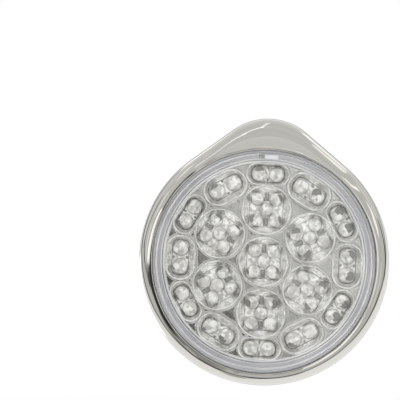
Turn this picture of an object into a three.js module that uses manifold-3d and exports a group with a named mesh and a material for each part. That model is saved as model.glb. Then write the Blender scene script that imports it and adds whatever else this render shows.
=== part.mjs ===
// LED facial device: a hand-held, egg-shaped lamp for the face, with a swing-out finger ring on its back.
// Millimetres, +Z up. The lamps face -Y and the back plate faces +Y, with the plate's outer face at y = 0.
// A depth is the distance from the back plate's outer face toward the lamps, so y is minus the depth.
// The origin is the centre of the plate, which is also the centre of the body's large circle.
import * as THREE from 'three';
import { mergeVertices } from 'three/addons/utils/BufferGeometryUtils.js';
import Module from 'manifold-3d';

const { degToRad } = THREE.MathUtils;

// Fits
const FIT = 0.3; // running gap between pieces that nest
const OVERRUN = 1; // how far a cutting tool runs past the surface it cuts

// Lamp field: one round cell in the middle, six round it and twelve oval cells along the rim
const CELL_RADIUS = 19.1;
const CELL_WEB = 2.8; // wall between round cells
const CELL_FLOOR_HALF = 13.5; // half side of the square window in a round cell's floor
const OVAL_WEB = 0.9; // wall between a small oval and the round cell inside it
const SMALL_OVAL_LENGTH = 33;
const SMALL_OVAL_WIDTH = 16;
const LARGE_OVAL_LENGTH = 34.5;
const LARGE_OVAL_WIDTH = 22.4;
const OVAL_WINDOW_LENGTH = 26;
const OVAL_WINDOW_WIDTH = 12.6;
const REFLECTOR_RIM = 3; // wall outside the ovals
const RING_CELLS = 6;
const LAMP_RADIUS = 5;
const LAMP_BARREL = 3.8; // straight part of a lamp below its dome
const LAMP_HEIGHT = 8.8;
const LAMP_CORNER_OFFSET = 7.7; // corner lamps of a round cell, from its centre along both sides
const PAIR_HALF_SPACING = 6.3;
const CARRIER_MARGIN = 0.3; // carrier edge outside its lamps
const CARRIER_THICKNESS = 1.4;

// Front stack, all thicknesses along the depth
const TRIM_WIDTH = 4.9;
const TRIM_THICKNESS = 1.6;
const TRIM_TAB_LENGTH = 15;
const TRIM_TAB_WIDTH = 2.8;
const TRIM_TAB_HEIGHT = 0.4;
const LEDGE_WIDTH = 2.5; // ledge in the bezel that the lens sits on
const LEDGE_THICKNESS = 2;
const GASKET_THICKNESS = 0.8;
const LENS_THICKNESS = 2.7;
const LENS_STEP = 0.7;
const LENS_RECESS = 2; // lens face below the front rim
const REFLECTOR_FLOOR = 1.5;
const REFLECTOR_SKIRT = 2.2;
const BOARD_THICKNESS = 1.6;
const BOARD_MARGIN = 0.7; // lamp board edge inside the bezel's ledge
const CLAMP_THICKNESS = 2;

// Bezel
const BEZEL_WIDTH = 11; // front rim, from the lens opening to the widest line
const BEZEL_DEPTH = 18;
const BEZEL_SHOULDER = 5; // the widest line, ahead of the seam with the band
const BEZEL_WALL = 2.4;
const BEZEL_ROUNDNESS = 2.3; // exponent of the rounded front section
const BEZEL_LIP_RADIUS = 0.6;
const BEZEL_BOSS_RADIUS = 2.6;
const BEZEL_BOSS_ANGLE = degToRad(28); // first boss from the tip, mirrored to the other quarters
const TIP_RISE = 66; // centre of the tip's arc above the centre of the body
const TIP_HALF_ANGLE = degToRad(38); // half of the tip's arc, where the straight flanks start

// Side band and rear shell
const BAND_DEPTH = 18;
const BAND_WALL = 2.4;
const BAND_FRONT_INSET = 1; // seam with the bezel, inside the widest line
const BAND_TAPER = 6; // how much the band draws in from its front to its rear edge
const SHELL_DEPTH = 20;
const SHELL_WALL = 2.4;
const DOME_SWEEP = degToRad(78); // part of the quarter ellipse that the dome's section uses
const SEAM_LIP_HEIGHT = 2.5;
const SEAM_LIP_THICKNESS = 1.2;

// Ring handle and its dish
const RING_INNER_RADIUS = 22;
const RING_SIDE_WIDTH = 12.5; // at mid-height
const RING_FOOT_WIDTH = 9; // at the flat foot
const RING_TOP_CROWN = 8; // top of the ellipse that the shoulders follow, past the flat arm ends
const RING_FOOT_CROWN = 5.5; // foot of the ellipse that the lower half follows, past the flat foot
const RING_THICKNESS = 8;
const RING_BEVEL = 2.6;
const RING_PROUD = 2; // ring's face above the plate
const ARM_GAP = 0.7; // between each arm and the knuckle
const KNUCKLE_RADIUS = 8.4;
const KNUCKLE_LEAD = 1.5; // knuckle's centre above the hinge line
const KNUCKLE_PROUD = 1.7;
const KNUCKLE_EDGE_RADIUS = 0.8;
const ARM_END = 4.5; // from the hinge line to the arms' flat ends
const PIN_RADIUS = 1.6;
const PIN_HALF_LENGTH = 17.5;
const FINGER_GAP = 11; // below the ring's foot
const DISH_SIDE_GAP = 2.7;
const DISH_DEPTH = 7;
const DISH_DRAFT = 2.5; // how much the dish draws in at its floor
const PLATE_MARGIN = 10; // plate outside the dish's long axis
const PLATE_THICKNESS = 2.4;
const SEAT_WIDTH = 5.8; // ledge in the shell that the plate rests on
const SEAT_THICKNESS = 2;

// Buttons and indicators on the left of the band, seen from the front
const BUTTON_LENGTH = 22;
const BUTTON_WIDTH = 7;
const BUTTON_PROUD = 0.9;
const BUTTON_TRAVEL = 0.8;
const BUTTON_FLANGE = 1; // flange round the button, behind the band
const BUTTON_DEPTH = 5.9; // band surface to the back of the flange
const BUTTON_SPREAD = degToRad(15); // each button from the middle of the pair
const BUTTON_MIDDLE = degToRad(-62); // middle of the pair, from the tip
const STEM_RADIUS = 2;
const STEM_LENGTH = 1;
const SWITCH_SIZE = 6;
const SWITCH_HEIGHT = 3;
const SWITCH_KNOB_RADIUS = 1.6;
const SWITCH_KNOB_HEIGHT = 0.5;
const SWITCH_GAP = 0.2; // left between stem and knob when the button is pressed
const SWITCH_BOARD_LENGTH = 32;
const SWITCH_BOARD_WIDTH = 11;
const POST_SIZE = 2.5;
const INDICATOR_RADIUS = 1.1;
const INDICATOR_GAP = 3.6; // from a button's end to its indicator
const INDICATOR_LENGTH = 4.6;
const INDICATOR_PROUD = 0.1;

// Power inlet at the bottom of the band
const INLET_LENGTH = 12;
const INLET_WIDTH = 9;
const INLET_HEIGHT = 13;
const INLET_RECESS = 2; // inlet's face behind the band's surface line
const INLET_BORE_RADIUS = 2.8;
const INLET_BORE_DEPTH = 9;
const INLET_PIN_RADIUS = 0.9;
const INLET_PIN_LENGTH = 8;

// Control electronics
const CONTROL_BOARD_MARGIN = 4.5; // board edge outside its screws
const CONTROL_POST_RADIUS = 3;
const SCREW_SHANK_RADIUS = 1.2;
const SCREW_SHANK_LENGTH = 6;
const SCREW_HEAD_RADIUS = 2;
const SCREW_HEAD_HEIGHT = 1.5;
const PLATE_SCREW_BITE = 1.4; // how far a plate screw enters the plate
const CHIP_SIZE = 14;
const CHIP_HEIGHT = 1.6;
const CHIP_RISE = 14;
const BUZZER_RADIUS = 7;
const BUZZER_HEIGHT = 6;
const BUZZER_OFFSET = 22;
const CONNECTOR_LENGTH = 14;
const CONNECTOR_WIDTH = 5;
const CONNECTOR_HEIGHT = 4;
const CONNECTOR_RISE = -22; // control board's connector
const CABLE_WIDTH = 12;
const CABLE_THICKNESS = 0.8;
const CABLE_JOG = 9; // from the control board's connector up to the lamp board's
const CABLE_LEAD_SHARE = 0.25; // straight part at each end, of the way between the connectors

// Facets
const TIP_STEPS = 10;
const BODY_STEPS = 36;
const ROUND_STEPS = 48;
const SMALL_STEPS = 12;
const LAMP_STEPS = 8;
const ARC_STEPS = 5; // curve divisions of a quarter or half arc in a flat shape
const OUTER_STEPS = 6; // along a curved outer section
const INNER_STEPS = 3; // along a curved inner section
const RING_BEVEL_STEPS = 2;
const RING_ARC_STEPS = 7; // each shoulder and each side of the foot
const RING_BORE_STEPS = 22;

// Sizes that follow from the lamp field outward
const RING_CELL_OFFSET = 2 * CELL_RADIUS + CELL_WEB;
const SMALL_OVAL_OFFSET = RING_CELL_OFFSET + CELL_RADIUS + OVAL_WEB + SMALL_OVAL_WIDTH / 2;
const REFLECTOR_RADIUS = SMALL_OVAL_OFFSET + SMALL_OVAL_WIDTH / 2 + REFLECTOR_RIM;
const LARGE_OVAL_OFFSET = REFLECTOR_RADIUS - REFLECTOR_RIM - LARGE_OVAL_WIDTH / 2;
const TRIM_INNER_RADIUS = REFLECTOR_RADIUS + FIT;
const TRIM_RADIUS = TRIM_INNER_RADIUS + TRIM_WIDTH;
const LEDGE_RADIUS = TRIM_RADIUS + FIT;
const OPENING_RADIUS = LEDGE_RADIUS + LEDGE_WIDTH;
const LENS_RADIUS = OPENING_RADIUS - FIT;
const BODY_RADIUS = OPENING_RADIUS + BEZEL_WIDTH;
const BAND_FRONT_RADIUS = BODY_RADIUS - BAND_FRONT_INSET;
const BAND_REAR_RADIUS = BAND_FRONT_RADIUS - BAND_TAPER;

// Depths that follow
const BAND_FRONT = SHELL_DEPTH + BAND_DEPTH;
const BAND_MIDDLE = SHELL_DEPTH + BAND_DEPTH / 2;
const WIDEST = BAND_FRONT + BEZEL_SHOULDER;
const FRONT = BAND_FRONT + BEZEL_DEPTH;
const LENS_FRONT = FRONT - LENS_RECESS;
const LENS_BACK = LENS_FRONT - LENS_THICKNESS;
const LEDGE_FRONT = LENS_BACK - GASKET_THICKNESS;
const LEDGE_BACK = LEDGE_FRONT - LEDGE_THICKNESS;
const TRIM_FRONT = LEDGE_FRONT - FIT;
const TRIM_BACK = TRIM_FRONT - TRIM_THICKNESS;
const LAMP_FRONT = TRIM_FRONT - FIT;
const CARRIER_FRONT = LAMP_FRONT - LAMP_HEIGHT;
const BOARD_FRONT = CARRIER_FRONT - CARRIER_THICKNESS;
const BOARD_BACK = BOARD_FRONT - BOARD_THICKNESS;
const CLAMP_BACK = BOARD_BACK - CLAMP_THICKNESS;

// Radii and places of the clamp ring and the bezel's bosses
const BOARD_RADIUS = LEDGE_RADIUS - BOARD_MARGIN;
const BOSS_OFFSET = OPENING_RADIUS + BEZEL_BOSS_RADIUS;
const CLAMP_RADIUS = BOSS_OFFSET + SCREW_HEAD_RADIUS;
const CLAMP_INNER_RADIUS = REFLECTOR_RADIUS - REFLECTOR_SKIRT;
const BEZEL_BOSS_ANGLES = [
  BEZEL_BOSS_ANGLE,
  Math.PI / 2 + BEZEL_BOSS_ANGLE,
  (3 * Math.PI) / 2 - BEZEL_BOSS_ANGLE,
  2 * Math.PI - BEZEL_BOSS_ANGLE,
];

// Sizes of the ring, the dish, the plate and its seat
const RING_HALF_WIDTH = RING_INNER_RADIUS + RING_SIDE_WIDTH;
const RING_HALF_HEIGHT = RING_INNER_RADIUS + RING_FOOT_WIDTH;
const RING_TOP_ROUND = RING_HALF_HEIGHT + RING_TOP_CROWN;
const RING_FOOT_ROUND = RING_HALF_HEIGHT + RING_FOOT_CROWN;
const DISH_HALF_HEIGHT = RING_HALF_HEIGHT + FINGER_GAP;
const DISH_HALF_WIDTH = RING_HALF_WIDTH + DISH_SIDE_GAP;
const PLATE_RADIUS = DISH_HALF_HEIGHT + PLATE_MARGIN;
const SEAT_OUTER_RADIUS = PLATE_RADIUS + FIT;
const SEAT_INNER_RADIUS = SEAT_OUTER_RADIUS - SEAT_WIDTH;
const SEAT_BACK = PLATE_THICKNESS + SEAT_THICKNESS;
const PLATE_SCREW_OFFSET = SEAT_INNER_RADIUS + SCREW_HEAD_RADIUS + FIT;
const HINGE_DEPTH = RING_THICKNESS / 2 - RING_PROUD;
const HINGE_RISE = RING_HALF_HEIGHT - ARM_END;
const KNUCKLE_RISE = HINGE_RISE + KNUCKLE_LEAD;
const ARM_INNER = KNUCKLE_RADIUS + ARM_GAP;
const CONTROL_POST_OFFSET = (SEAT_OUTER_RADIUS - CONTROL_POST_RADIUS) * Math.SQRT1_2;
const CONTROL_BOARD_DEPTH = SHELL_DEPTH; // level with the shell's seam
const CONTROL_BOARD_FRONT = CONTROL_BOARD_DEPTH + BOARD_THICKNESS;

// Places along a radius of the band, from its surface at mid-width inward
const BAND_MIDDLE_RADIUS = (BAND_FRONT_RADIUS + BAND_REAR_RADIUS) / 2;
const KNOB_TOP = BUTTON_DEPTH + STEM_LENGTH + BUTTON_TRAVEL + SWITCH_GAP;
const SWITCH_TOP = KNOB_TOP + SWITCH_KNOB_HEIGHT;
const SWITCH_BASE = SWITCH_TOP + SWITCH_HEIGHT;
const INDICATOR_SPREAD = BUTTON_SPREAD - (BUTTON_LENGTH / 2 + INDICATOR_GAP) / BAND_MIDDLE_RADIUS;

const wasm = await Module();
wasm.setup();

// Solids

/** Signed volume of a closed triangle list, positive when its faces point out. */
function signedVolume(points, triangles) {
  const [a, b, c] = [new THREE.Vector3(), new THREE.Vector3(), new THREE.Vector3()];
  let volume = 0;
  for (let i = 0; i < triangles.length; i += 3) {
    a.fromArray(points, 3 * triangles[i]);
    b.fromArray(points, 3 * triangles[i + 1]);
    c.fromArray(points, 3 * triangles[i + 2]);
    volume += a.dot(b.cross(c));
  }
  return volume;
}

/** A closed geometry as a solid: shared vertices merged, collapsed faces dropped, faces pointing out. */
function solidOf(geometry) {
  const bare = geometry.clone();
  bare.deleteAttribute('normal');
  bare.deleteAttribute('uv');
  const merged = mergeVertices(bare);
  const points = new Float32Array(merged.attributes.position.array);
  const triangles = [];
  for (let i = 0; i < merged.index.count; i += 3) {
    const corners = [0, 1, 2].map((k) => merged.index.getX(i + k));
    if (new Set(corners).size === corners.length) triangles.push(...corners);
  }
  if (signedVolume(points, triangles) < 0) triangles.reverse();
  const mesh = new wasm.Mesh({ numProp: 3, vertProperties: points, triVerts: new Uint32Array(triangles) });
  return new wasm.Manifold(mesh);
}

/** Joins geometries or solids into one solid. */
function join(...pieces) {
  return pieces.map(asSolid).reduce((whole, piece) => whole.add(piece));
}

/** Cuts every tool out of a piece. */
function cut(piece, ...tools) {
  return tools.map(asSolid).reduce((rest, tool) => rest.subtract(tool), asSolid(piece));
}

/** The part that two pieces share. */
function common(piece, other) {
  return asSolid(piece).intersect(asSolid(other));
}

function asSolid(piece) {
  return piece.isBufferGeometry ? solidOf(piece) : piece;
}

/** A named mesh with its own material, from a geometry or a solid. */
function mesh(name, piece, [color, roughness, metalness]) {
  const { vertProperties, triVerts } = asSolid(piece).getMesh();
  const geometry = new THREE.BufferGeometry();
  geometry.setAttribute('position', new THREE.BufferAttribute(vertProperties, 3));
  geometry.setIndex(new THREE.BufferAttribute(triVerts, 1));
  geometry.computeVertexNormals();
  const made = new THREE.Mesh(geometry, new THREE.MeshStandardMaterial({ color, roughness, metalness }));
  made.name = name;
  return made;
}

// Shapes

/** A geometry through sections with the same number of points: a closed loop of them, or capped ends. */
function loft(sections, looped) {
  const count = sections[0].length;
  const points = sections.flat();
  const triangles = [];
  const pairs = looped ? sections.length : sections.length - 1;
  for (let s = 0; s < pairs; s += 1) {
    const here = s * count;
    const next = ((s + 1) % sections.length) * count;
    for (let i = 0; i < count; i += 1) {
      const j = (i + 1) % count;
      triangles.push(here + i, here + j, next + i, here + j, next + j, next + i);
    }
  }
  if (!looped) {
    const last = (sections.length - 1) * count;
    for (let i = 1; i < count - 1; i += 1) {
      triangles.push(0, i + 1, i, last, last + i, last + i + 1);
    }
  }
  const geometry = new THREE.BufferGeometry().setFromPoints(points);
  geometry.setIndex(triangles);
  return geometry;
}

/** The body's outline at one depth: arcs of one radius about the centre and, above the flanks, the tip. */
function eggSection({ radius, rise, depth }) {
  const points = [];
  const add = (angle, centre, reach) => {
    points.push(new THREE.Vector3(reach * Math.sin(angle), -depth, centre + reach * Math.cos(angle)));
  };
  const tipReach = radius - rise * Math.cos(TIP_HALF_ANGLE);
  for (let i = 0; i <= TIP_STEPS; i += 1) {
    add(TIP_HALF_ANGLE * ((2 * i) / TIP_STEPS - 1), rise, tipReach);
  }
  const sweep = 2 * (Math.PI - TIP_HALF_ANGLE);
  for (let i = 0; i <= BODY_STEPS; i += 1) {
    add(TIP_HALF_ANGLE + (sweep * i) / BODY_STEPS, 0, radius);
  }
  return points;
}

/** A ring round the body, from outlines that follow its wall's section in turn and close on the first. */
function eggRing(sections) {
  return loft(sections.map(eggSection), true);
}

/** A section list entry. */
function at(radius, depth, rise = TIP_RISE) {
  return { radius, rise, depth };
}

/** A body turned about the depth axis, from radius and depth pairs that start and end on it or close. */
function turned(profile, steps = ROUND_STEPS) {
  const points = profile.map(([radius, depth]) => new THREE.Vector2(radius, -depth));
  return new THREE.LatheGeometry(points, steps);
}

/** A flat ring, or with no inner radius a disc, between two depths. */
function washer(inner, outer, front, back, steps = ROUND_STEPS) {
  if (inner === 0) return turned([[0, back], [outer, back], [outer, front], [0, front]], steps);
  return turned([[inner, back], [outer, back], [outer, front], [inner, front], [inner, back]], steps);
}

/** A round bar along the depth, at a place seen from the front. */
function bar(radius, x, z, from, to, steps = SMALL_STEPS) {
  const length = Math.abs(to - from);
  return new THREE.CylinderGeometry(radius, radius, length, steps).translate(x, -(from + to) / 2, z);
}

/** A flat shape drawn as seen from the front, thickened between two depths. */
function slab(shape, from, to) {
  const options = { depth: to - from, bevelEnabled: false, curveSegments: ARC_STEPS };
  return new THREE.ExtrudeGeometry(shape, options).rotateX(Math.PI / 2).translate(0, -from, 0);
}

/** A shape on the band's face, run along a radius of the band from one inset to a deeper one. */
function radial(shape, angle, from, to) {
  const options = { depth: to - from, bevelEnabled: false, curveSegments: ARC_STEPS };
  const start = BAND_MIDDLE_RADIUS - to;
  return new THREE.ExtrudeGeometry(shape, options).translate(0, -BAND_MIDDLE, start).rotateY(angle);
}

function rectangle(length, width, x = 0, y = 0) {
  const shape = new THREE.Shape();
  shape.moveTo(x - length / 2, y - width / 2);
  shape.lineTo(x + length / 2, y - width / 2);
  shape.lineTo(x + length / 2, y + width / 2);
  shape.lineTo(x - length / 2, y + width / 2);
  shape.closePath();
  return shape;
}

/** A stadium outline, long along x. */
function pill(length, width) {
  const shape = new THREE.Shape();
  const reach = (length - width) / 2;
  shape.absarc(reach, 0, width / 2, -Math.PI / 2, Math.PI / 2, false);
  shape.absarc(-reach, 0, width / 2, Math.PI / 2, (3 * Math.PI) / 2, false);
  shape.closePath();
  return shape;
}

function circle(radius) {
  const shape = new THREE.Shape();
  shape.absarc(0, 0, radius, 0, Math.PI, false);
  shape.absarc(0, 0, radius, Math.PI, 2 * Math.PI, false);
  return shape;
}

/** An elliptic frustum between two depths, given its half axes at the plate's face and its draft. */
function bowl(halfWidth, halfHeight, from, to, draft) {
  const sections = [from, to].map((depth) => {
    const inset = draft * depth;
    const points = [];
    for (let i = 0; i < ROUND_STEPS; i += 1) {
      const angle = (2 * Math.PI * i) / ROUND_STEPS;
      const x = (halfWidth - inset) * Math.cos(angle);
      const z = (halfHeight - inset) * Math.sin(angle);
      points.push(new THREE.Vector3(x, -depth, z));
    }
    return points;
  });
  return loft(sections, false);
}

/** Moves a piece drawn at the middle out to a place at an angle from the tip, turning it with the angle. */
function placed(geometry, offset, angle) {
  return geometry.clone().translate(0, 0, offset).rotateY(angle);
}

// Front: bezel, lens, trim, reflector, lamps

/** The bezel's rounded front, from its widest line to the rim of the lens opening. */
function bezelCurve(radius, opening, front, steps) {
  const power = 2 / BEZEL_ROUNDNESS;
  const sections = [];
  for (let i = 0; i <= steps; i += 1) {
    const angle = (Math.PI / 2) * (i / steps);
    const outward = i === steps ? 0 : Math.cos(angle) ** power;
    const forward = Math.sin(angle) ** power;
    const reach = opening + (radius - opening) * outward;
    const rise = TIP_RISE * outward ** (1 / BEZEL_ROUNDNESS);
    sections.push(at(reach, WIDEST + (front - WIDEST) * forward, rise));
  }
  return sections;
}

function frontBezel() {
  const innerFront = FRONT - BEZEL_WALL;
  const seamInner = bandRadius(BAND_FRONT) - BAND_WALL - FIT;
  const lipEnd = BAND_FRONT - SEAM_LIP_HEIGHT;
  const lipOuter = bandRadius(lipEnd) - BAND_WALL - FIT;
  const inside = bezelCurve(BODY_RADIUS - BEZEL_WALL, OPENING_RADIUS + BEZEL_WALL, innerFront, INNER_STEPS);
  const rim = eggRing([
    at(BAND_FRONT_RADIUS, BAND_FRONT),
    ...bezelCurve(BODY_RADIUS, OPENING_RADIUS + BEZEL_LIP_RADIUS, FRONT, OUTER_STEPS),
    at(OPENING_RADIUS, FRONT - BEZEL_LIP_RADIUS, 0),
    at(OPENING_RADIUS, LEDGE_FRONT, 0),
    at(LEDGE_RADIUS, LEDGE_FRONT, 0),
    at(LEDGE_RADIUS, LEDGE_BACK, 0),
    at(OPENING_RADIUS + BEZEL_WALL, LEDGE_BACK, 0),
    ...inside.reverse(),
    at(lipOuter - SEAM_LIP_THICKNESS, BAND_FRONT + SEAM_LIP_THICKNESS),
    at(lipOuter - SEAM_LIP_THICKNESS, lipEnd),
    at(lipOuter, lipEnd),
    at(seamInner, BAND_FRONT),
  ]);
  const bosses = BEZEL_BOSS_ANGLES.map((angle) => {
    const post = placed(bar(BEZEL_BOSS_RADIUS, 0, 0, BOARD_BACK, innerFront), BOSS_OFFSET, angle);
    const pilot = bar(SCREW_SHANK_RADIUS + FIT, 0, 0, BOARD_BACK - OVERRUN, screwEnd());
    return cut(post, placed(pilot, BOSS_OFFSET, angle));
  });
  return join(rim, ...bosses);
}

function screwEnd() {
  return BOARD_BACK + SCREW_SHANK_LENGTH + FIT;
}

function lensCover() {
  return turned([
    [0, LENS_BACK],
    [LENS_RADIUS, LENS_BACK],
    [LENS_RADIUS, LENS_FRONT - LENS_STEP],
    [LEDGE_RADIUS, LENS_FRONT - LENS_STEP],
    [LEDGE_RADIUS - LENS_STEP, LENS_FRONT],
    [0, LENS_FRONT],
  ]);
}

function lensGasket() {
  return washer(LEDGE_RADIUS, LENS_RADIUS, LENS_BACK, LEDGE_FRONT);
}

function trimRing() {
  const ring = washer(TRIM_INNER_RADIUS, TRIM_RADIUS, TRIM_FRONT, TRIM_BACK);
  const rise = (TRIM_INNER_RADIUS + TRIM_RADIUS) / 2;
  const tab = rectangle(TRIM_TAB_LENGTH, TRIM_TAB_WIDTH, 0, rise);
  return join(ring, slab(tab, TRIM_BACK, TRIM_FRONT + TRIM_TAB_HEIGHT));
}

/** The rim cells in turn: a small oval ahead of each round cell, a large one between two. */
function rimCells() {
  const cells = [];
  for (let i = 0; i < 2 * RING_CELLS; i += 1) {
    const angle = (Math.PI * i) / RING_CELLS;
    const small = i % 2 === 0;
    cells.push({
      angle,
      offset: small ? SMALL_OVAL_OFFSET : LARGE_OVAL_OFFSET,
      length: small ? SMALL_OVAL_LENGTH : LARGE_OVAL_LENGTH,
      width: small ? SMALL_OVAL_WIDTH : LARGE_OVAL_WIDTH,
    });
  }
  return cells;
}

/** The round cells: the middle one, then the ring of six. */
function roundCells() {
  const cells = [{ angle: 0, offset: 0 }];
  for (let i = 0; i < RING_CELLS; i += 1) {
    cells.push({ angle: (2 * Math.PI * i) / RING_CELLS, offset: RING_CELL_OFFSET });
  }
  return cells;
}

function reflector() {
  const floorBack = CARRIER_FRONT + FIT;
  const floorFront = floorBack + REFLECTOR_FLOOR;
  const skirtRadius = REFLECTOR_RADIUS - REFLECTOR_SKIRT;
  const body = turned([
    [0, floorBack],
    [skirtRadius, floorBack],
    [skirtRadius, BOARD_FRONT],
    [REFLECTOR_RADIUS, BOARD_FRONT],
    [REFLECTOR_RADIUS, TRIM_BACK - TRIM_THICKNESS],
    [TRIM_RADIUS, TRIM_BACK - TRIM_THICKNESS],
    [TRIM_RADIUS, TRIM_BACK],
    [REFLECTOR_RADIUS, TRIM_BACK],
    [REFLECTOR_RADIUS, TRIM_FRONT],
    [0, TRIM_FRONT],
  ]);
  const front = TRIM_FRONT + OVERRUN;
  const back = floorBack - OVERRUN;
  const cup = slab(circle(CELL_RADIUS), floorFront, front);
  const window = slab(rectangle(2 * CELL_FLOOR_HALF, 2 * CELL_FLOOR_HALF), back, front);
  const ovalWindow = slab(rectangle(OVAL_WINDOW_LENGTH, OVAL_WINDOW_WIDTH), back, front);
  const tools = [];
  for (const { offset, angle } of roundCells()) {
    tools.push(placed(cup, offset, angle), placed(window, offset, angle));
  }
  for (const { offset, angle, length, width } of rimCells()) {
    tools.push(placed(slab(pill(length, width), floorFront, front), offset, angle));
    tools.push(placed(ovalWindow, offset, angle));
  }
  return cut(body, ...tools);
}

/** One clear lamp, standing on the front of its carrier at a place in the cell. */
function lamp(x, z) {
  const waist = (LAMP_BARREL + LAMP_HEIGHT) / 2;
  const shoulder = LAMP_RADIUS * Math.sin(Math.PI / 4);
  const crown = waist + (LAMP_HEIGHT - waist) * Math.sin(Math.PI / 4);
  const profile = [
    [0, CARRIER_FRONT - CARRIER_THICKNESS / 2],
    [LAMP_RADIUS, CARRIER_FRONT - CARRIER_THICKNESS / 2],
    [LAMP_RADIUS, CARRIER_FRONT + LAMP_BARREL],
    [shoulder, CARRIER_FRONT + crown],
    [0, LAMP_FRONT],
  ];
  return turned(profile, LAMP_STEPS).translate(x, 0, z);
}

/** Five lamps on a square carrier, one in the middle and one near each corner. */
function roundLampGroup() {
  const side = 2 * (LAMP_CORNER_OFFSET + LAMP_RADIUS + CARRIER_MARGIN);
  const carrier = slab(rectangle(side, side), BOARD_FRONT, CARRIER_FRONT);
  const corners = [-1, 1].flatMap((a) => [-1, 1].map((b) => [a, b]));
  const lamps = corners.map(([a, b]) => lamp(a * LAMP_CORNER_OFFSET, b * LAMP_CORNER_OFFSET));
  return join(carrier, lamp(0, 0), ...lamps);
}

/** Two lamps side by side on an oblong carrier. */
function lampPair() {
  const length = 2 * (PAIR_HALF_SPACING + LAMP_RADIUS + CARRIER_MARGIN);
  const width = 2 * (LAMP_RADIUS + CARRIER_MARGIN);
  const carrier = slab(rectangle(length, width), BOARD_FRONT, CARRIER_FRONT);
  return join(carrier, lamp(-PAIR_HALF_SPACING, 0), lamp(PAIR_HALF_SPACING, 0));
}

/** The same lamp solid set into each cell, as its own mesh. */
function lampMeshes(stem, piece, cells, finish) {
  return cells.map(({ angle, offset }, index) => {
    const made = mesh(`${stem}_${index + 1}`, piece, finish);
    made.position.set(offset * Math.sin(angle), 0, offset * Math.cos(angle));
    made.rotation.y = angle;
    return made;
  });
}

function clampRing() {
  const ring = washer(CLAMP_INNER_RADIUS, CLAMP_RADIUS, BOARD_BACK, CLAMP_BACK);
  const hole = bar(SCREW_SHANK_RADIUS + FIT, 0, 0, CLAMP_BACK - OVERRUN, BOARD_BACK + OVERRUN);
  return cut(ring, ...BEZEL_BOSS_ANGLES.map((angle) => placed(hole, BOSS_OFFSET, angle)));
}

/** A pan-head screw along the depth: its head ends at one depth and its shank points forward. */
function screw(headFront, shankLength) {
  return turned([
    [0, headFront - SCREW_HEAD_HEIGHT],
    [SCREW_HEAD_RADIUS, headFront - SCREW_HEAD_HEIGHT],
    [SCREW_HEAD_RADIUS, headFront],
    [SCREW_SHANK_RADIUS, headFront],
    [SCREW_SHANK_RADIUS, headFront + shankLength],
    [0, headFront + shankLength],
  ], LAMP_STEPS);
}

/** The same screw turned to point backward, with its head against a face in front of it. */
function rearwardScrew(headBack, shankLength) {
  return turned([
    [0, headBack + SCREW_HEAD_HEIGHT],
    [SCREW_HEAD_RADIUS, headBack + SCREW_HEAD_HEIGHT],
    [SCREW_HEAD_RADIUS, headBack],
    [SCREW_SHANK_RADIUS, headBack],
    [SCREW_SHANK_RADIUS, headBack - shankLength],
    [0, headBack - shankLength],
  ], LAMP_STEPS);
}

function screwMeshes(stem, piece, places, finish) {
  return places.map(([x, z], index) => {
    const made = mesh(`${stem}_${index + 1}`, piece, finish);
    made.position.set(x, 0, z);
    return made;
  });
}

// Side band, buttons, indicators, inlet

/** Radius of the band's outer face at a depth. */
function bandRadius(depth) {
  const share = (depth - SHELL_DEPTH) / BAND_DEPTH;
  return BAND_REAR_RADIUS + BAND_TAPER * share;
}

/** Everything inside the band's outer face, drawn in by an inset. */
function bandCore(inset) {
  const sections = [SHELL_DEPTH, BAND_FRONT].map((depth) => eggSection(at(bandRadius(depth) - inset, depth)));
  return solidOf(loft(sections, false));
}

const BUTTON_ANGLES = { power: BUTTON_MIDDLE + BUTTON_SPREAD, mode: BUTTON_MIDDLE - BUTTON_SPREAD };
const INDICATOR_ANGLES = { power: BUTTON_MIDDLE + INDICATOR_SPREAD, mode: BUTTON_MIDDLE - INDICATOR_SPREAD };
const INLET_ANGLE = Math.PI;

function sideBand() {
  const lip = seamLip(SHELL_DEPTH - SEAM_LIP_HEIGHT);
  const ring = eggRing([
    at(BAND_REAR_RADIUS, SHELL_DEPTH),
    at(BAND_FRONT_RADIUS, BAND_FRONT),
    at(BAND_FRONT_RADIUS - BAND_WALL, BAND_FRONT),
    at(bandRadius(SHELL_DEPTH + SEAM_LIP_THICKNESS) - BAND_WALL, SHELL_DEPTH + SEAM_LIP_THICKNESS),
    { ...lip, radius: lip.radius - SEAM_LIP_THICKNESS },
    lip,
    { ...seamLip(SHELL_DEPTH), rise: TIP_RISE },
  ]);
  const posts = Object.values(BUTTON_ANGLES).flatMap(switchPosts);
  const supports = common(join(...posts), bandCore(BAND_WALL / 2));
  const slots = Object.values(BUTTON_ANGLES).map((angle) => {
    return radial(pill(BUTTON_LENGTH + 2 * FIT, BUTTON_WIDTH + 2 * FIT), angle, -BAND_TAPER, BUTTON_DEPTH);
  });
  const holes = Object.values(INDICATOR_ANGLES).map((angle) => {
    return radial(circle(INDICATOR_RADIUS + FIT), angle, -OVERRUN, BUTTON_DEPTH);
  });
  const inlet = rectangle(INLET_LENGTH + 2 * FIT, INLET_WIDTH + 2 * FIT);
  const inletHole = radial(inlet, INLET_ANGLE, -BAND_TAPER, BUTTON_DEPTH);
  return cut(join(ring, supports), ...slots, ...holes, inletHole);
}

/** Four posts that carry a switch board behind its button. */
function switchPosts(angle) {
  const x = (SWITCH_BOARD_LENGTH - POST_SIZE) / 2;
  const y = (SWITCH_BOARD_WIDTH - POST_SIZE) / 2;
  return [-1, 1].flatMap((a) => [-1, 1].map((b) => {
    return radial(rectangle(POST_SIZE, POST_SIZE, a * x, b * y), angle, -BAND_TAPER, SWITCH_BASE);
  }));
}

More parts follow.
